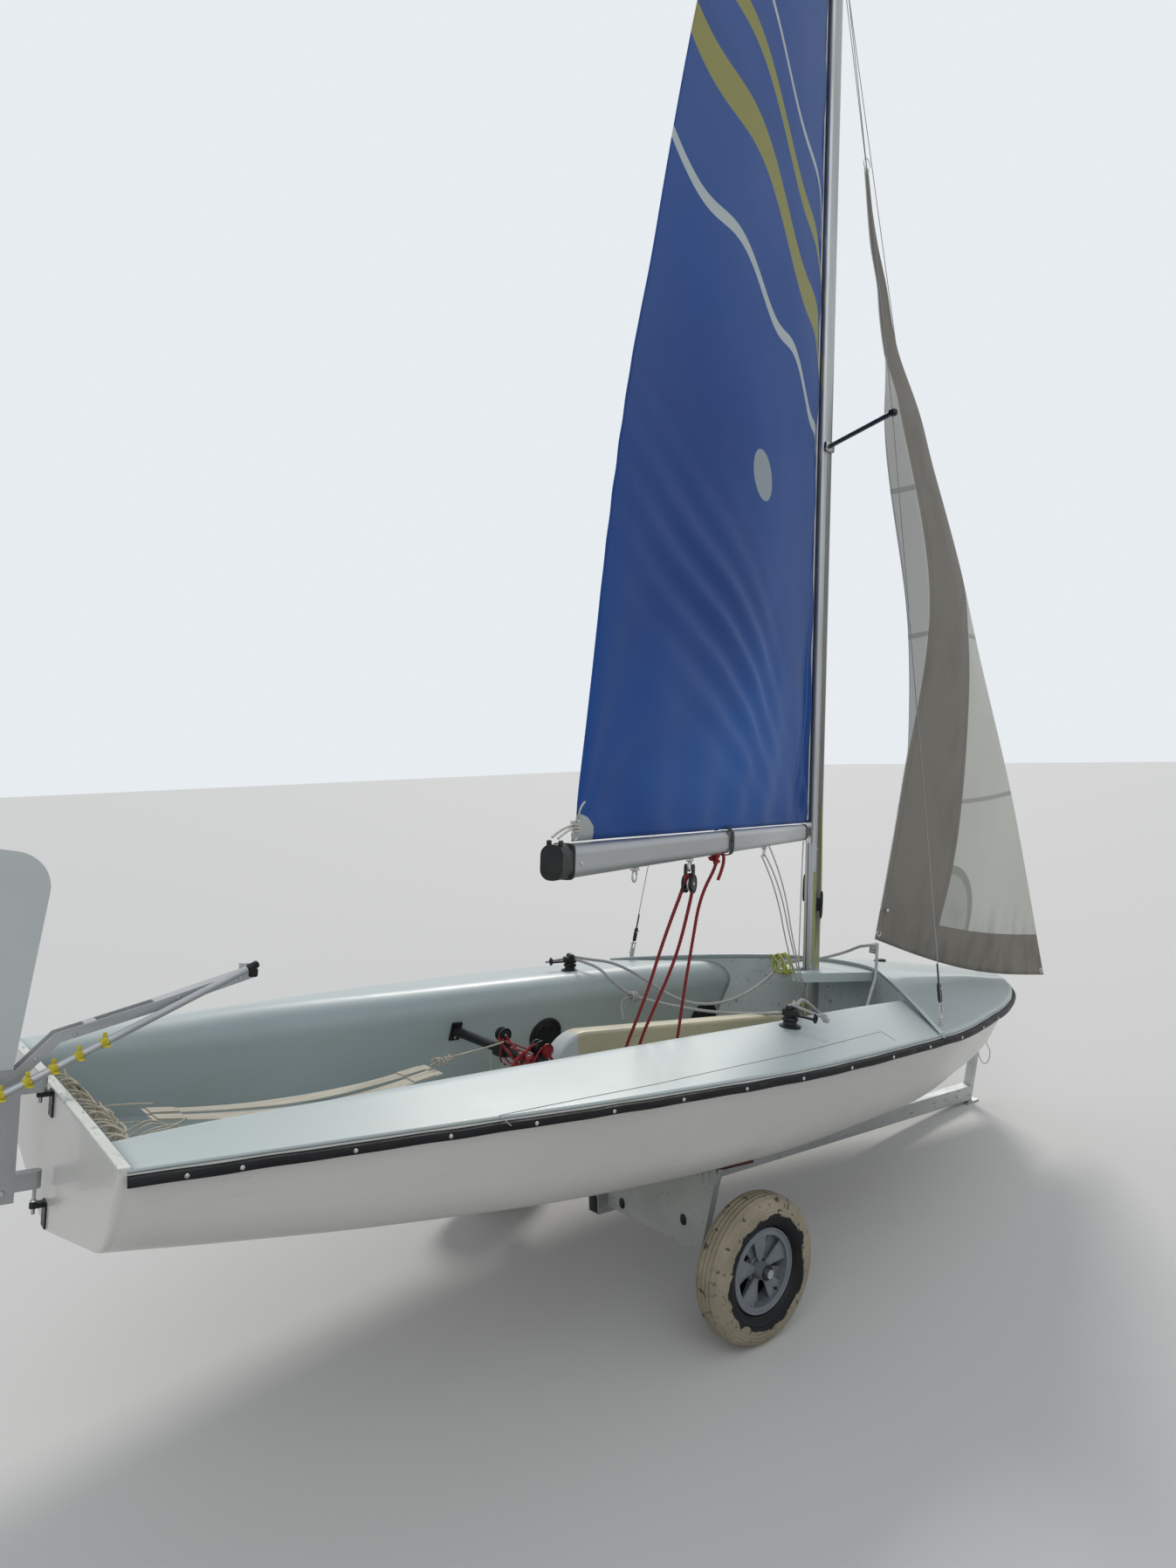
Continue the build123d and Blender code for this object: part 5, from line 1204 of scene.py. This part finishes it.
sheet_tails.append(laid_rope("tail_knot", course(
    1.966 + 0.004 * np.cos(knot_turn), -0.655 - 0.018 * knot_share + 0.004 * np.sin(knot_turn),
    0.566 + 0.011 * np.sin(knot_turn)), 0.008))
joined("sheet_tails", sheet_tails, grey_rope, "boat", "webbing")

# Rudder hangings: two black gudgeons bolted to the transom, the heads of the pintle bolts that drop
# through them, and a thin red cord that keeps the rudder from being lost.
painted(black_finish, "gudgeons")
hanging_bits = []
for low in (0.187, 0.442):
    for way in (-1, 1):
        nut_at = (-0.0035, way * 0.022, low - 0.014)
        hanging_bits.append(soft_block("nut", nut_at, (0.007, 0.011, 0.011), roundness=0.5))
    hanging_bits.append(bar("pintle_head", (-0.040, 0, low + 0.001), (-0.040, 0, low + 0.007), 0.0085))
joined("hanging_bolts", hanging_bits, steel_finish, "boat", "stainless")
lost_cord = laid_rope("safety_cord", [
    (-0.012, 0.035, 0.428), (-0.014, 0.040, 0.40), (-0.010, 0.042, 0.35), (-0.009, 0.041, 0.305),
    (-0.012, 0.043, 0.285)], 0.003)
dressed(lost_cord, red_rope, "boat", "webbing")

# Rudder: pressed aluminium cheeks bolted together, a lifting blade of pale gelcoat swung up aft, a
# tiller of flat bars, and a tube extension wound with yellow tape at five places.
cheek_finish = finish("rudder_cheek", (0.42, 0.43, 0.44), (0.33, 0.34, 0.35), 12, 0.36, metal=0.9,
                      bump=0.0002, grain=200, stretch=(0.2, 1, 1))
bar_finish = finish("tiller_bar", (0.48, 0.49, 0.50), (0.38, 0.39, 0.40), 18, 0.52, metal=0.8,
                    bump=0.00005, grain=120, drift=0.06, stretch=(0.2, 1, 1))
blade_finish = finish("blade_gelcoat", (0.52, 0.55, 0.54), (0.46, 0.49, 0.485), 3, 0.32,
                      bump=0.0001, grain=12, drift=0.02)
over(patches(blade_finish, 60, 0.68, 0.78, (1, 1, 0.2)) * 0.35, (0.33, 0.34, 0.32))
painted(cheek_finish, "rudder_stock")
painted(bar_finish, "tiller", "tiller_extension")
painted(blade_finish, "rudder_blade")


def half_width(node):
    """Half the width of a CAD node across the boat."""
    low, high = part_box(node)
    return (high[1] - low[1]) / 2


cheek_half, tiller_half = half_width("rudder_stock"), half_width("tiller")
rudder_metal = []
for way in (-1, 1):
    for x, z, radius in ((-0.110, 0.225, 0.007), (-0.110, 0.455, 0.007), (-0.185, 0.440, 0.006),
                         (-0.260, 0.225, 0.006), (-0.175, 0.225, 0.005), (-0.240, 0.260, 0.011)):
        rudder_metal.append(pin("bolt", (x, way * (cheek_half + 0.0015), z), (0, way * 0.0025, 0), radius))
    for x, z in ((-0.130, 0.450), (-0.060, 0.523), (0.020, 0.571), (0.250, 0.638), (0.400, 0.682)):
        at = (x, way * (tiller_half + 0.0005), z)
        rudder_metal.append(pin("tiller_bolt", at, (0, way * 0.0025, 0), 0.005))
extension_front = np.array((0.436, -0.036, 0.716))
extension_aft = np.array((-0.450, -0.070, 0.312))
extension_way = unit(extension_aft - extension_front)
plug_radius = 0.0098
rudder_black = [
    soft_block("tiller_plug", (0.434, 0, 0.691), (0.030, 2 * tiller_half + 0.004, 0.026), roundness=0.4),
    pin("front_plug", extension_front + 0.013 * extension_way, 0.017 * extension_way, plug_radius),
    pin("aft_plug", extension_aft - 0.0085 * extension_way, 0.0115 * extension_way, plug_radius)]
joined("rudder_bolts", rudder_metal, steel_finish, "rudder", "stainless")
joined("rudder_plugs", rudder_black, black_finish, "rudder", "black_plastic")
tape_finish = finish("yellow_tape", (0.62, 0.52, 0.03), (0.45, 0.37, 0.02), 90, 0.5, bump=0.0003)
tape_profile = [(0.0093, 0), (0.0106, 0.001), (0.0118, 0.005), (0.0110, 0.009), (0.0122, 0.013),
                (0.0108, 0.017), (0.0093, 0.018)]
wraps = []
for x in (-0.133, -0.080, -0.028, 0.024, 0.078):
    middle = extension_front + (x - extension_front[0]) / extension_way[0] * extension_way
    start = aboard(middle - 0.009 * extension_way)
    grid = turned(tape_profile, start, aboard(middle) - start, 20)
    grid += 0.0008 * np.random.default_rng(3).standard_normal(grid.shape)
    wraps += [surface("wrap", grid, closed=True),
              soft_block("tape_end", middle + (0.003, -0.016, -0.006), (0.014, 0.022, 0.003), roundness=0.5),
              soft_block("tape_end", middle + (0.001, 0.004, 0.014), (0.010, 0.004, 0.018), roundness=0.5)]
joined("tape_wraps", wraps, tape_finish, "rudder", "webbing")

# Launching trolley: square aluminium spine and bow post, a white plastic cradle board bolted on,
# with dark red carpet pads where the hull sits, on two pneumatic wheels.
spine_finish = finish("trolley_tube", (0.52, 0.53, 0.53), (0.38, 0.39, 0.39), 14, 0.40, metal=0.85,
                      bump=0.0003, grain=180, stretch=(0.15, 1, 1))
over(patches(spine_finish, 50, 0.60, 0.70, (0.3, 1, 1)) * 0.6, (0.20, 0.20, 0.19), 0.6)
board_finish = finish("board_plastic", (0.42, 0.43, 0.41), (0.34, 0.35, 0.33), 8, 0.45, bump=0.0004, grain=60)
top_edge = ramp(coordinate(board_finish, "Z"), 0.40, 0.47)
over(top_edge * patches(board_finish, 30, 0.50, 0.60, (1, 1, 0.3)), (0.01, 0.09, 0.045), 0.7)
over(patches(board_finish, 60, 0.62, 0.70) * 0.6, (0.20, 0.19, 0.16), 0.7)
carpet_finish = finish("red_carpet", (0.075, 0.010, 0.012), (0.035, 0.006, 0.008), 60, 0.95,
                       bump=0.003, grain=420)
painted(spine_finish, "trolley_spine", "bow_post")
painted(silver_finish, "axle")
painted(board_finish, "cradle_board")
painted(carpet_finish, "cradle_pads")
board_low, board_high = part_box("cradle_board")
board_bolts, trolley_bolts = [], []
for y, z in ((-0.39, 0.270), (-0.10, 0.222), (0.10, 0.222), (0.39, 0.270)):
    for face in (board_low[0] - 0.001, board_high[0] + 0.001):
        board_bolts.append(soft_block("board_bolt", (face, y, z), (0.010, 0.024, 0.034), roundness=0.8,
                                      shared=True))
spine_low, spine_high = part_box("trolley_spine")
for way in (-1, 1):
    for x in (-0.11, -0.20):
        share = (x - spine_low[0]) / (spine_high[0] - spine_low[0])
        z = spine_high[2] - 0.033 + (spine_low[2] - spine_high[2] + 0.066) * share
        trolley_bolts.append(bar("spine_bolt", (x, way * 0.0325, z), (x, way * 0.0355, z), 0.006,
                                 shared=True))
joined("board_bolts", board_bolts, black_finish, "boat", "black_plastic")
joined("trolley_bolts", trolley_bolts, steel_finish, "boat", "stainless")

# Wheels: moulded rims of grey plastic with five spokes and a plain bearing tube, and pneumatic tyres
# once painted beige, the paint worn off in a ragged ring round the rim.
wheel_centre = np.mean(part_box("tyre_port"), axis=0)
paint_edge = 0.174
tread_edge = 0.196
# waves of the side rings and of the tread, in radians a metre
ring_waves, tread_waves = 620.0, 420.0
rim_finish = finish("rim_plastic", (0.175, 0.195, 0.215), (0.135, 0.15, 0.168), 30, 0.45,
                    bump=0.0002, grain=200)
tyre_finish = finish("tyre_paint", (0.34, 0.295, 0.215), (0.25, 0.215, 0.155), 14, 0.75,
                     bump=0.0005, grain=90)
from_hub_x = coordinate(tyre_finish, "X") - wheel_centre[0]
from_hub_z = coordinate(tyre_finish, "Z") - wheel_centre[2]
from_hub = (from_hub_x * from_hub_x + from_hub_z * from_hub_z).through("SQRT")
ragged = from_hub + patches(tyre_finish, 22, 0.2, 0.8, detail=6) * 0.034
over(patches(tyre_finish, 6, 0.45, 0.7) * 0.5, (0.19, 0.165, 0.12), 0.8)
over(patches(tyre_finish, 60, 0.61, 0.67, (1, 0.5, 1)) * 0.85, (0.030, 0.028, 0.025), 0.7)
over(ramp(ragged, paint_edge + 0.003, paint_edge), (0.006, 0.006, 0.007), 0.55)
look(tyre_finish, "Specular IOR Level", 0.25)
raised((from_hub * ring_waves).through("SINE"), 0.0006)
tread = (coordinate(tyre_finish, "Y") * tread_waves).through("SINE")
raised(ramp(from_hub, tread_edge, tread_edge + 0.004) * tread, 0.0012)
wheel_rim = 0.104
side_x, side_z = np.array((1.0, 0, 0)), np.array((0, 0, 1.0))
valve_way = np.array((0.6, 0, -0.8))
# radius, thickness, distance out of each ring on a rim's face
rim_rings = ((0.1175, 0.0035, 0.033), (wheel_rim, 0.003, 0.024), (0.034, 0.003, 0.010))
# profile of a black disc inside each rim: painted shade behind the spoke windows
shade_disc_profile = [(0.030, -0.0165), (0.060, -0.0185), (0.1155, -0.0205), (0.1155, -0.0185),
                (0.060, -0.0165), (0.030, -0.0145)]
washer_profile = [(0.0135, 0.0), (0.0215, 0.0), (0.0225, 0.0015), (0.0215, 0.003), (0.0135, 0.003)]
# half a spoke's section: share of its half width, and height
spoke_edge = np.array([(-1, -0.002), (-0.97, 0.002), (0, 0.003), (0.97, 0.002), (1, -0.002)])
spoke_half = np.linspace(0.0085, 0.0330, 12)[:, None, None]
for side, way in sides:
    painted(rim_finish, f"rim_{side}")
    painted(tyre_finish, f"tyre_{side}")
    middle = wheel_centre * (1, way * np.sign(wheel_centre[1]), 1)
    out = np.array((0, way, 0.0))
    rings = [wire_ring("ring", hoop(middle + out * at, radius, side_x, side_z, 73), 2 * thick, shared=True)
             for radius, thick, at in rim_rings]
    for spin in np.radians(np.arange(90, 450, 72)):
        ray = np.array((np.cos(spin), 0, np.sin(spin)))
        spoke = np.linspace(middle + 0.026 * ray + out * 0.0185, middle + wheel_rim * ray + out * 0.0215, 12)
        section = spoke_edge * (1, 0) * spoke_half + spoke_edge * (0, 1)
        rings.append(surface("rim_spoke", carried(spoke, section, out), closed=True))
    joined(f"rim_ribs_{side}", rings, rim_finish, f"wheel_{side}", "rim_plastic")
    # Painted shade: a black disc inside the rim, so that the spoke windows show dark.
    back = lathed("rim_shade_disc", shade_disc_profile, middle, out, 64)
    dressed(back, black_finish, f"wheel_{side}", "black_plastic")
    hub_reach = np.abs(np.array(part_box(f"rim_{side}"))[:, 1]).max() - abs(middle[1])
    washer = lathed("washer", washer_profile, middle + out * hub_reach, out, 32)
    valve = bar("valve", middle + 0.098 * valve_way + out * 0.012,
                middle + 0.086 * valve_way + out * 0.034, 0.004, shared=True)
    joined(f"hub_washer_{side}", [washer, valve], black_finish, f"wheel_{side}", "black_plastic")

# Mainsail: blue polyester cloth on the boom's slot and the mast's groove, with a stiffened clew, a
# repair patch, pockets for its battens, and bands of colour of its own design.
# columns: height over the boom, leech's distance aft of the hinge
leech_table = np.array([
    (0.036, 2.300), (0.390, 2.218), (0.699, 2.143), (1.072, 2.039), (1.192, 1.996), (1.317, 1.949),
    (1.523, 1.880), (1.744, 1.802), (2.121, 1.659), (2.60, 1.462), (3.0, 1.285), (3.5, 1.040),
    (4.0, 0.785), (4.5, 0.450), (4.88, 0.130)])
luff_at, foot_at, head_at = -0.016, 0.036, 4.88
clew_at, corner_up = 2.28, 0.05
cloth_span = 5.0
sail_v = np.concatenate([np.linspace(foot_at, 1.3, 90), np.linspace(1.315, head_at, 130)])
chord = between_rows(leech_table, sail_v)[0][None] - luff_at
u, h = np.meshgrid(np.linspace(0, 1, 150), sail_v, indexing="ij")
a = luff_at + chord * u


def grown(distance, reach):
    """0 at the place and 1 from `reach` on."""
    return np.clip(distance / reach, 0, 1)


def faded(distance, reach):
    """1 at the place and ever less away from it."""
    return np.exp(-distance / reach)


def spot(at, reach, slope=0.0):
    """1 at a place on the sail, falling off within two half widths."""
    return np.exp(-((h - at[1] - slope * (a - 1.3)) / reach[1]) ** 2 - ((a - at[0]) / reach[0]) ** 2)


rise = grown(h - foot_at, 1.6)
belly = 0.034 * chord * 4 * u * (1 - u) ** 1.25 * (1.35 * rise * (2 - rise)) ** 0.8
from_clew, from_tack = np.hypot(a - clew_at, h - corner_up), np.hypot(a, h - corner_up)
clew_turn, tack_turn = np.arctan2(h - corner_up, clew_at - a), np.arctan2(h, a + 0.05)
waves = 0.008 * faded(from_clew, 0.9) * np.sin(11 * clew_turn + 1.5 * from_clew) * grown(from_clew, 0.45)
waves += 0.009 * faded(from_tack, 0.45) * np.sin(10 * tack_turn) * grown(from_tack, 0.12)
waves += 0.006 * faded(a - luff_at, 0.30) * np.sin(2 * np.pi * h / 0.41 + 6 * a)
waves += 0.004 * np.sin(3.1 * a + 2.3 * h) * np.sin(2.7 * h - 1.9 * a) * grown(h, 0.5)
waves += 0.011 * spot((1.35, 0.52), (0.48, 0.24), 0.30) * np.sin(
    2 * np.pi * (h - 0.38 * a + 0.03 * np.sin(4 * a)) / 0.125)
waves += 0.010 * spot((0.10, 0.50), (0.16, 0.34)) * np.sin(2 * np.pi * (a / 0.085 + 0.22 * h))
foot_waves = (0.008 * faded(h - foot_at, 0.22) * np.sin(2 * np.pi * a / 0.36 + 3 * h)
              * grown(h - foot_at, 0.03))
b = belly + waves * grown(u, 0.03) + foot_waves
mainsail = surface("mainsail_cloth", aboard(by_boom(a, b, h)), inside=(-1.7, 1.5, 2.5), crease=80,
                   flat_map=((a + 0.05) / cloth_span, h / cloth_span))
walled(mainsail, 0.0012, 0.0)
sail_finish = finish("blue_sailcloth", (0.006, 0.062, 0.27), (0.004, 0.046, 0.21), 1.1, 0.62,
                     bump=0.0002, grain=60, source="UV")
look(sail_finish, "Specular IOR Level", 0.25)
cloth_aft = coordinate(sail_finish, "X", "UV") * cloth_span
cloth_up = coordinate(sail_finish, "Y", "UV") * cloth_span


def strip(across, half):
    """1 within `half` of where `across` is 0."""
    return across.through("ABSOLUTE") < half


def near(first, second, at, reach, soft=0.03):
    """1 inside the ellipse of half widths `reach` round a place, falling off over the outer share
    `soft` of it."""
    across, along = (first - at[0]) / reach[0], (second - at[1]) / reach[1]
    return ramp(across * across + along * along, 1.0, 1.0 - soft)


# Painted light: a paler blue over the lower middle of the cloth, where the sun shines through it.
over(near(cloth_aft, cloth_up, (1.15, 0.30), (1.05, 0.36), 1.0) * 0.8, (0.007, 0.092, 0.36))
# Painted shade: a darker blue over the cloth towards the lower leech.
over(near(cloth_aft, cloth_up, (1.75, 0.80), (0.75, 0.65), 1.0) * 0.7, (0.003, 0.036, 0.18))
grey_band, yellow_band = (0.42, 0.47, 0.48), (0.25, 0.24, 0.065)
for height, half, length, swing, lean, shade in (
        (1.50, 0.020, 0.62, 0.030, 0.10, grey_band), (1.83, 0.062, 0.95, 0.045, 0.16, yellow_band),
        (2.13, 0.036, 0.95, 0.045, 0.16, yellow_band), (2.36, 0.014, 0.95, 0.045, 0.16, grey_band)):
    wave = (cloth_aft * (2 * math.pi / length)).through("SINE") * swing
    over(strip(cloth_up - (wave + cloth_aft * lean) - height, half), shade, 0.6)
for height, reach, lean in ((1.045, 0.86, 0.045), (2.14, 0.72, 0.06), (3.16, 0.60, 0.08), (4.10, 0.42, 0.1)):
    start = float(between_rows(leech_table, height)[0]) - reach + 0.05
    across = cloth_up - (cloth_aft - start) * -lean - (height + lean * reach)
    pocket, inner = (strip(across, half) * (cloth_aft > start) * (cloth_aft < start + 2)
                     for half in (0.021, 0.019))
    over(inner * 0.16, (0.004, 0.022, 0.13), 0.6)
    over((pocket - inner) * 0.45, (0.004, 0.02, 0.10), 0.6)
    raised(pocket, 0.0012)
for height in (0.92, 1.84, 2.76, 3.68, 4.55):
    seam = strip(cloth_up - (cloth_aft * 0.13 + (height - 0.2)), 0.008)
    over(seam * 0.16, (0.004, 0.022, 0.14), 0.6)
repair = near(cloth_aft, cloth_up, (1.165, 1.085), (0.105, 0.072))
over(repair, (0.27, 0.32, 0.35), 0.6)
raised(repair, 0.0008)
over(near(cloth_aft, cloth_up, (2.330, 0.030), (0.085, 0.058)), (0.38, 0.40, 0.40), 0.55)
over(ramp(cloth_aft, 0.052, 0.050), (0.008, 0.03, 0.16), 0.6)
wear(mainsail, sail_finish)
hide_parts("mainsail")
tuple(aboard(by_boom(0.0, 0.0, 2.0)))
tuple(aboard(by_boom(0.14, 0.0, 2.0)))
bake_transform(mainsail)
clew_rings = [wire_ring("cringle", hoop(by_boom(along, 0, up_at), 0.011, boom_along, mast_along), 0.006)
              for along, up_at in ((2.283, 0.050), (2.262, 0.064))]
joined("clew_rings", clew_rings, steel_finish, "boom", "stainless")

# Jib: pale polyester cloth, hoisted on its own wire luff and flying loose to starboard, with a wide
# taupe band along its leech and foot that shields it from the sun, and seams between its panels.
# columns: share down the luff, luff x, y, z, leech x, y, z
jib_table = np.array([
    (0.000, 2.860, 0.000, 3.913, 2.838, 0.000, 3.913),
    (0.085, 2.932, -0.005, 3.620, 2.884, -0.012, 3.605),
    (0.140, 3.005, -0.012, 3.420, 2.935, -0.025, 3.395),
    (0.205, 3.070, -0.025, 3.210, 2.915, -0.080, 3.140),
    (0.320, 3.290, -0.050, 2.820, 2.865, -0.200, 2.850),
    (0.560, 3.550, -0.170, 2.010, 2.940, -0.330, 2.000),
    (0.760, 3.855, -0.200, 1.325, 2.853, -0.300, 1.324),
    (1.000, 4.160, -0.225, 0.502, 2.800, -0.245, 0.720),
])
# columns: share down the luff, share of the width that the band takes
band_table = np.array([
    (0, 1), (0.30, 1), (0.39, 0.87), (0.487, 0.79), (0.566, 0.58), (0.62, 0.53), (0.673, 0.50),
    (0.766, 0.44), (0.83, 0.41), (0.957, 0.315), (1, 0.30)], float)
# across the cloth, its map runs from the leech to the inner edge of the band and on
leech_map, band_map = 0.1, 0.25
jib_v = np.linspace(0, 1, 150)
jib_rows = between_rows(jib_table, jib_v).T
u, v = np.meshgrid(np.linspace(0, 1, 80), jib_v, indexing="ij")
luff, leech = jib_rows[None, :, :3], jib_rows[None, :, 3:]
jib_points = luff + (leech - luff) * u[..., None]
jib_points[..., 1] -= 0.05 * np.sin(np.pi * u) * np.sin(np.pi * v)
jib_points[..., 2] -= 0.045 * np.sin(np.pi * u) * v ** 8
jib_points[..., 1] += 0.004 * np.sin(np.pi * u) * (
    np.sin(9 * u + 14 * v) * np.sin(23 * v - 3 * u) + faded(1 - v, 0.12) * np.sin(16 * u))
jib_map = leech_map + band_map * (1 - u) / np.maximum(between_rows(band_table, jib_v)[0], 0.2)[None]
# the leech's edge curls over in a narrow flap
flap_u = np.linspace(0.08, 1, 12)[:, None]
flap = 0.004 + 0.100 * np.sin(np.pi * np.clip((jib_v - 0.22) / 0.50, 0, 1))[None] ** 1.2
flap_points = jib_points[-1:] + (flap_u * flap)[..., None] * (-0.623, 0.783, 0.0)
jib_points = np.concatenate([jib_points, flap_points])
jib_map = np.concatenate([jib_map, 0.098 * (1 - flap_u) + 0 * flap])
jib = surface("jib_cloth", aboard(jib_points), inside=(-0.6, 2.0, 2.0), crease=80,
              flat_map=(jib_map, np.broadcast_to(jib_v[None], jib_map.shape)))
walled(jib, 0.001, 0.0)
jib_finish = finish("pale_sailcloth", (0.56, 0.56, 0.51), (0.48, 0.475, 0.43), 2.0, 0.6,
                    bump=0.0002, grain=60, source="UV")
look(jib_finish, "Specular IOR Level", 0.25)
from_leech, down_luff = coordinate(jib_finish, "X", "UV"), coordinate(jib_finish, "Y", "UV")
for seam_at, lean in ((0.20, 0.05), (0.41, 0.05), (0.57, 0.05), (0.775, 0.06)):
    seam = strip(down_luff - (seam_at + 0.3 * lean - from_leech * lean), 0.0028)
    over(seam * 0.7, (0.27, 0.27, 0.24), 0.6)
    raised(seam, 0.0006)
for reach, shade in (((0.135, 0.085), (0.30, 0.30, 0.265)), ((0.115, 0.072), (0.41, 0.41, 0.37))):
    over(near(from_leech, down_luff, (0.355, 0.945), reach), shade, 0.6)
leech_band = (from_leech > 0.0995) * (from_leech < leech_map + band_map)
foot_band = down_luff + from_leech * 0.010 > 0.953
shield = leech_band.through("MAXIMUM", leech_band, foot_band)
over(shield, (0.205, 0.190, 0.165), 0.7)
raised(shield, 0.0006)
over(shield * (patches(jib_finish, 9, 0.50, 0.72, source="UV") * 0.45), (0.13, 0.12, 0.105), 0.8)
for edge in (leech_map + band_map - 0.015, leech_map + 0.015):
    over(strip(from_leech - edge, 0.0016) * (leech_band * 0.5), (0.12, 0.11, 0.10), 0.7)
foot_dirt = ramp(down_luff, 0.90, 1.0) * patches(jib_finish, 16, 0.45, 0.65, source="UV")
over(foot_dirt * 0.6, (0.11, 0.10, 0.085), 0.8)
wear(jib, jib_finish)
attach(jib, "boat")
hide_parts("jib")
# centre, radius, wire
jib_metal = [wire_ring("cringle", hoop(centre, radius, side_x, side_z), thick) for centre, radius, thick in (
    ((2.815, -0.246, 0.745), 0.012, 0.006), ((4.135, -0.224, 0.522), 0.010, 0.006),
    ((2.851, 0.0, 3.905), 0.010, 0.006), ((2.849, 0, 3.935), 0.022, 0.004))]
jib_metal.append(soft_block("leech_clip", (2.835, -0.262, 0.835), (0.012, 0.020, 0.014)))
joined("jib_rings", jib_metal, steel_finish, "boat", "stainless")
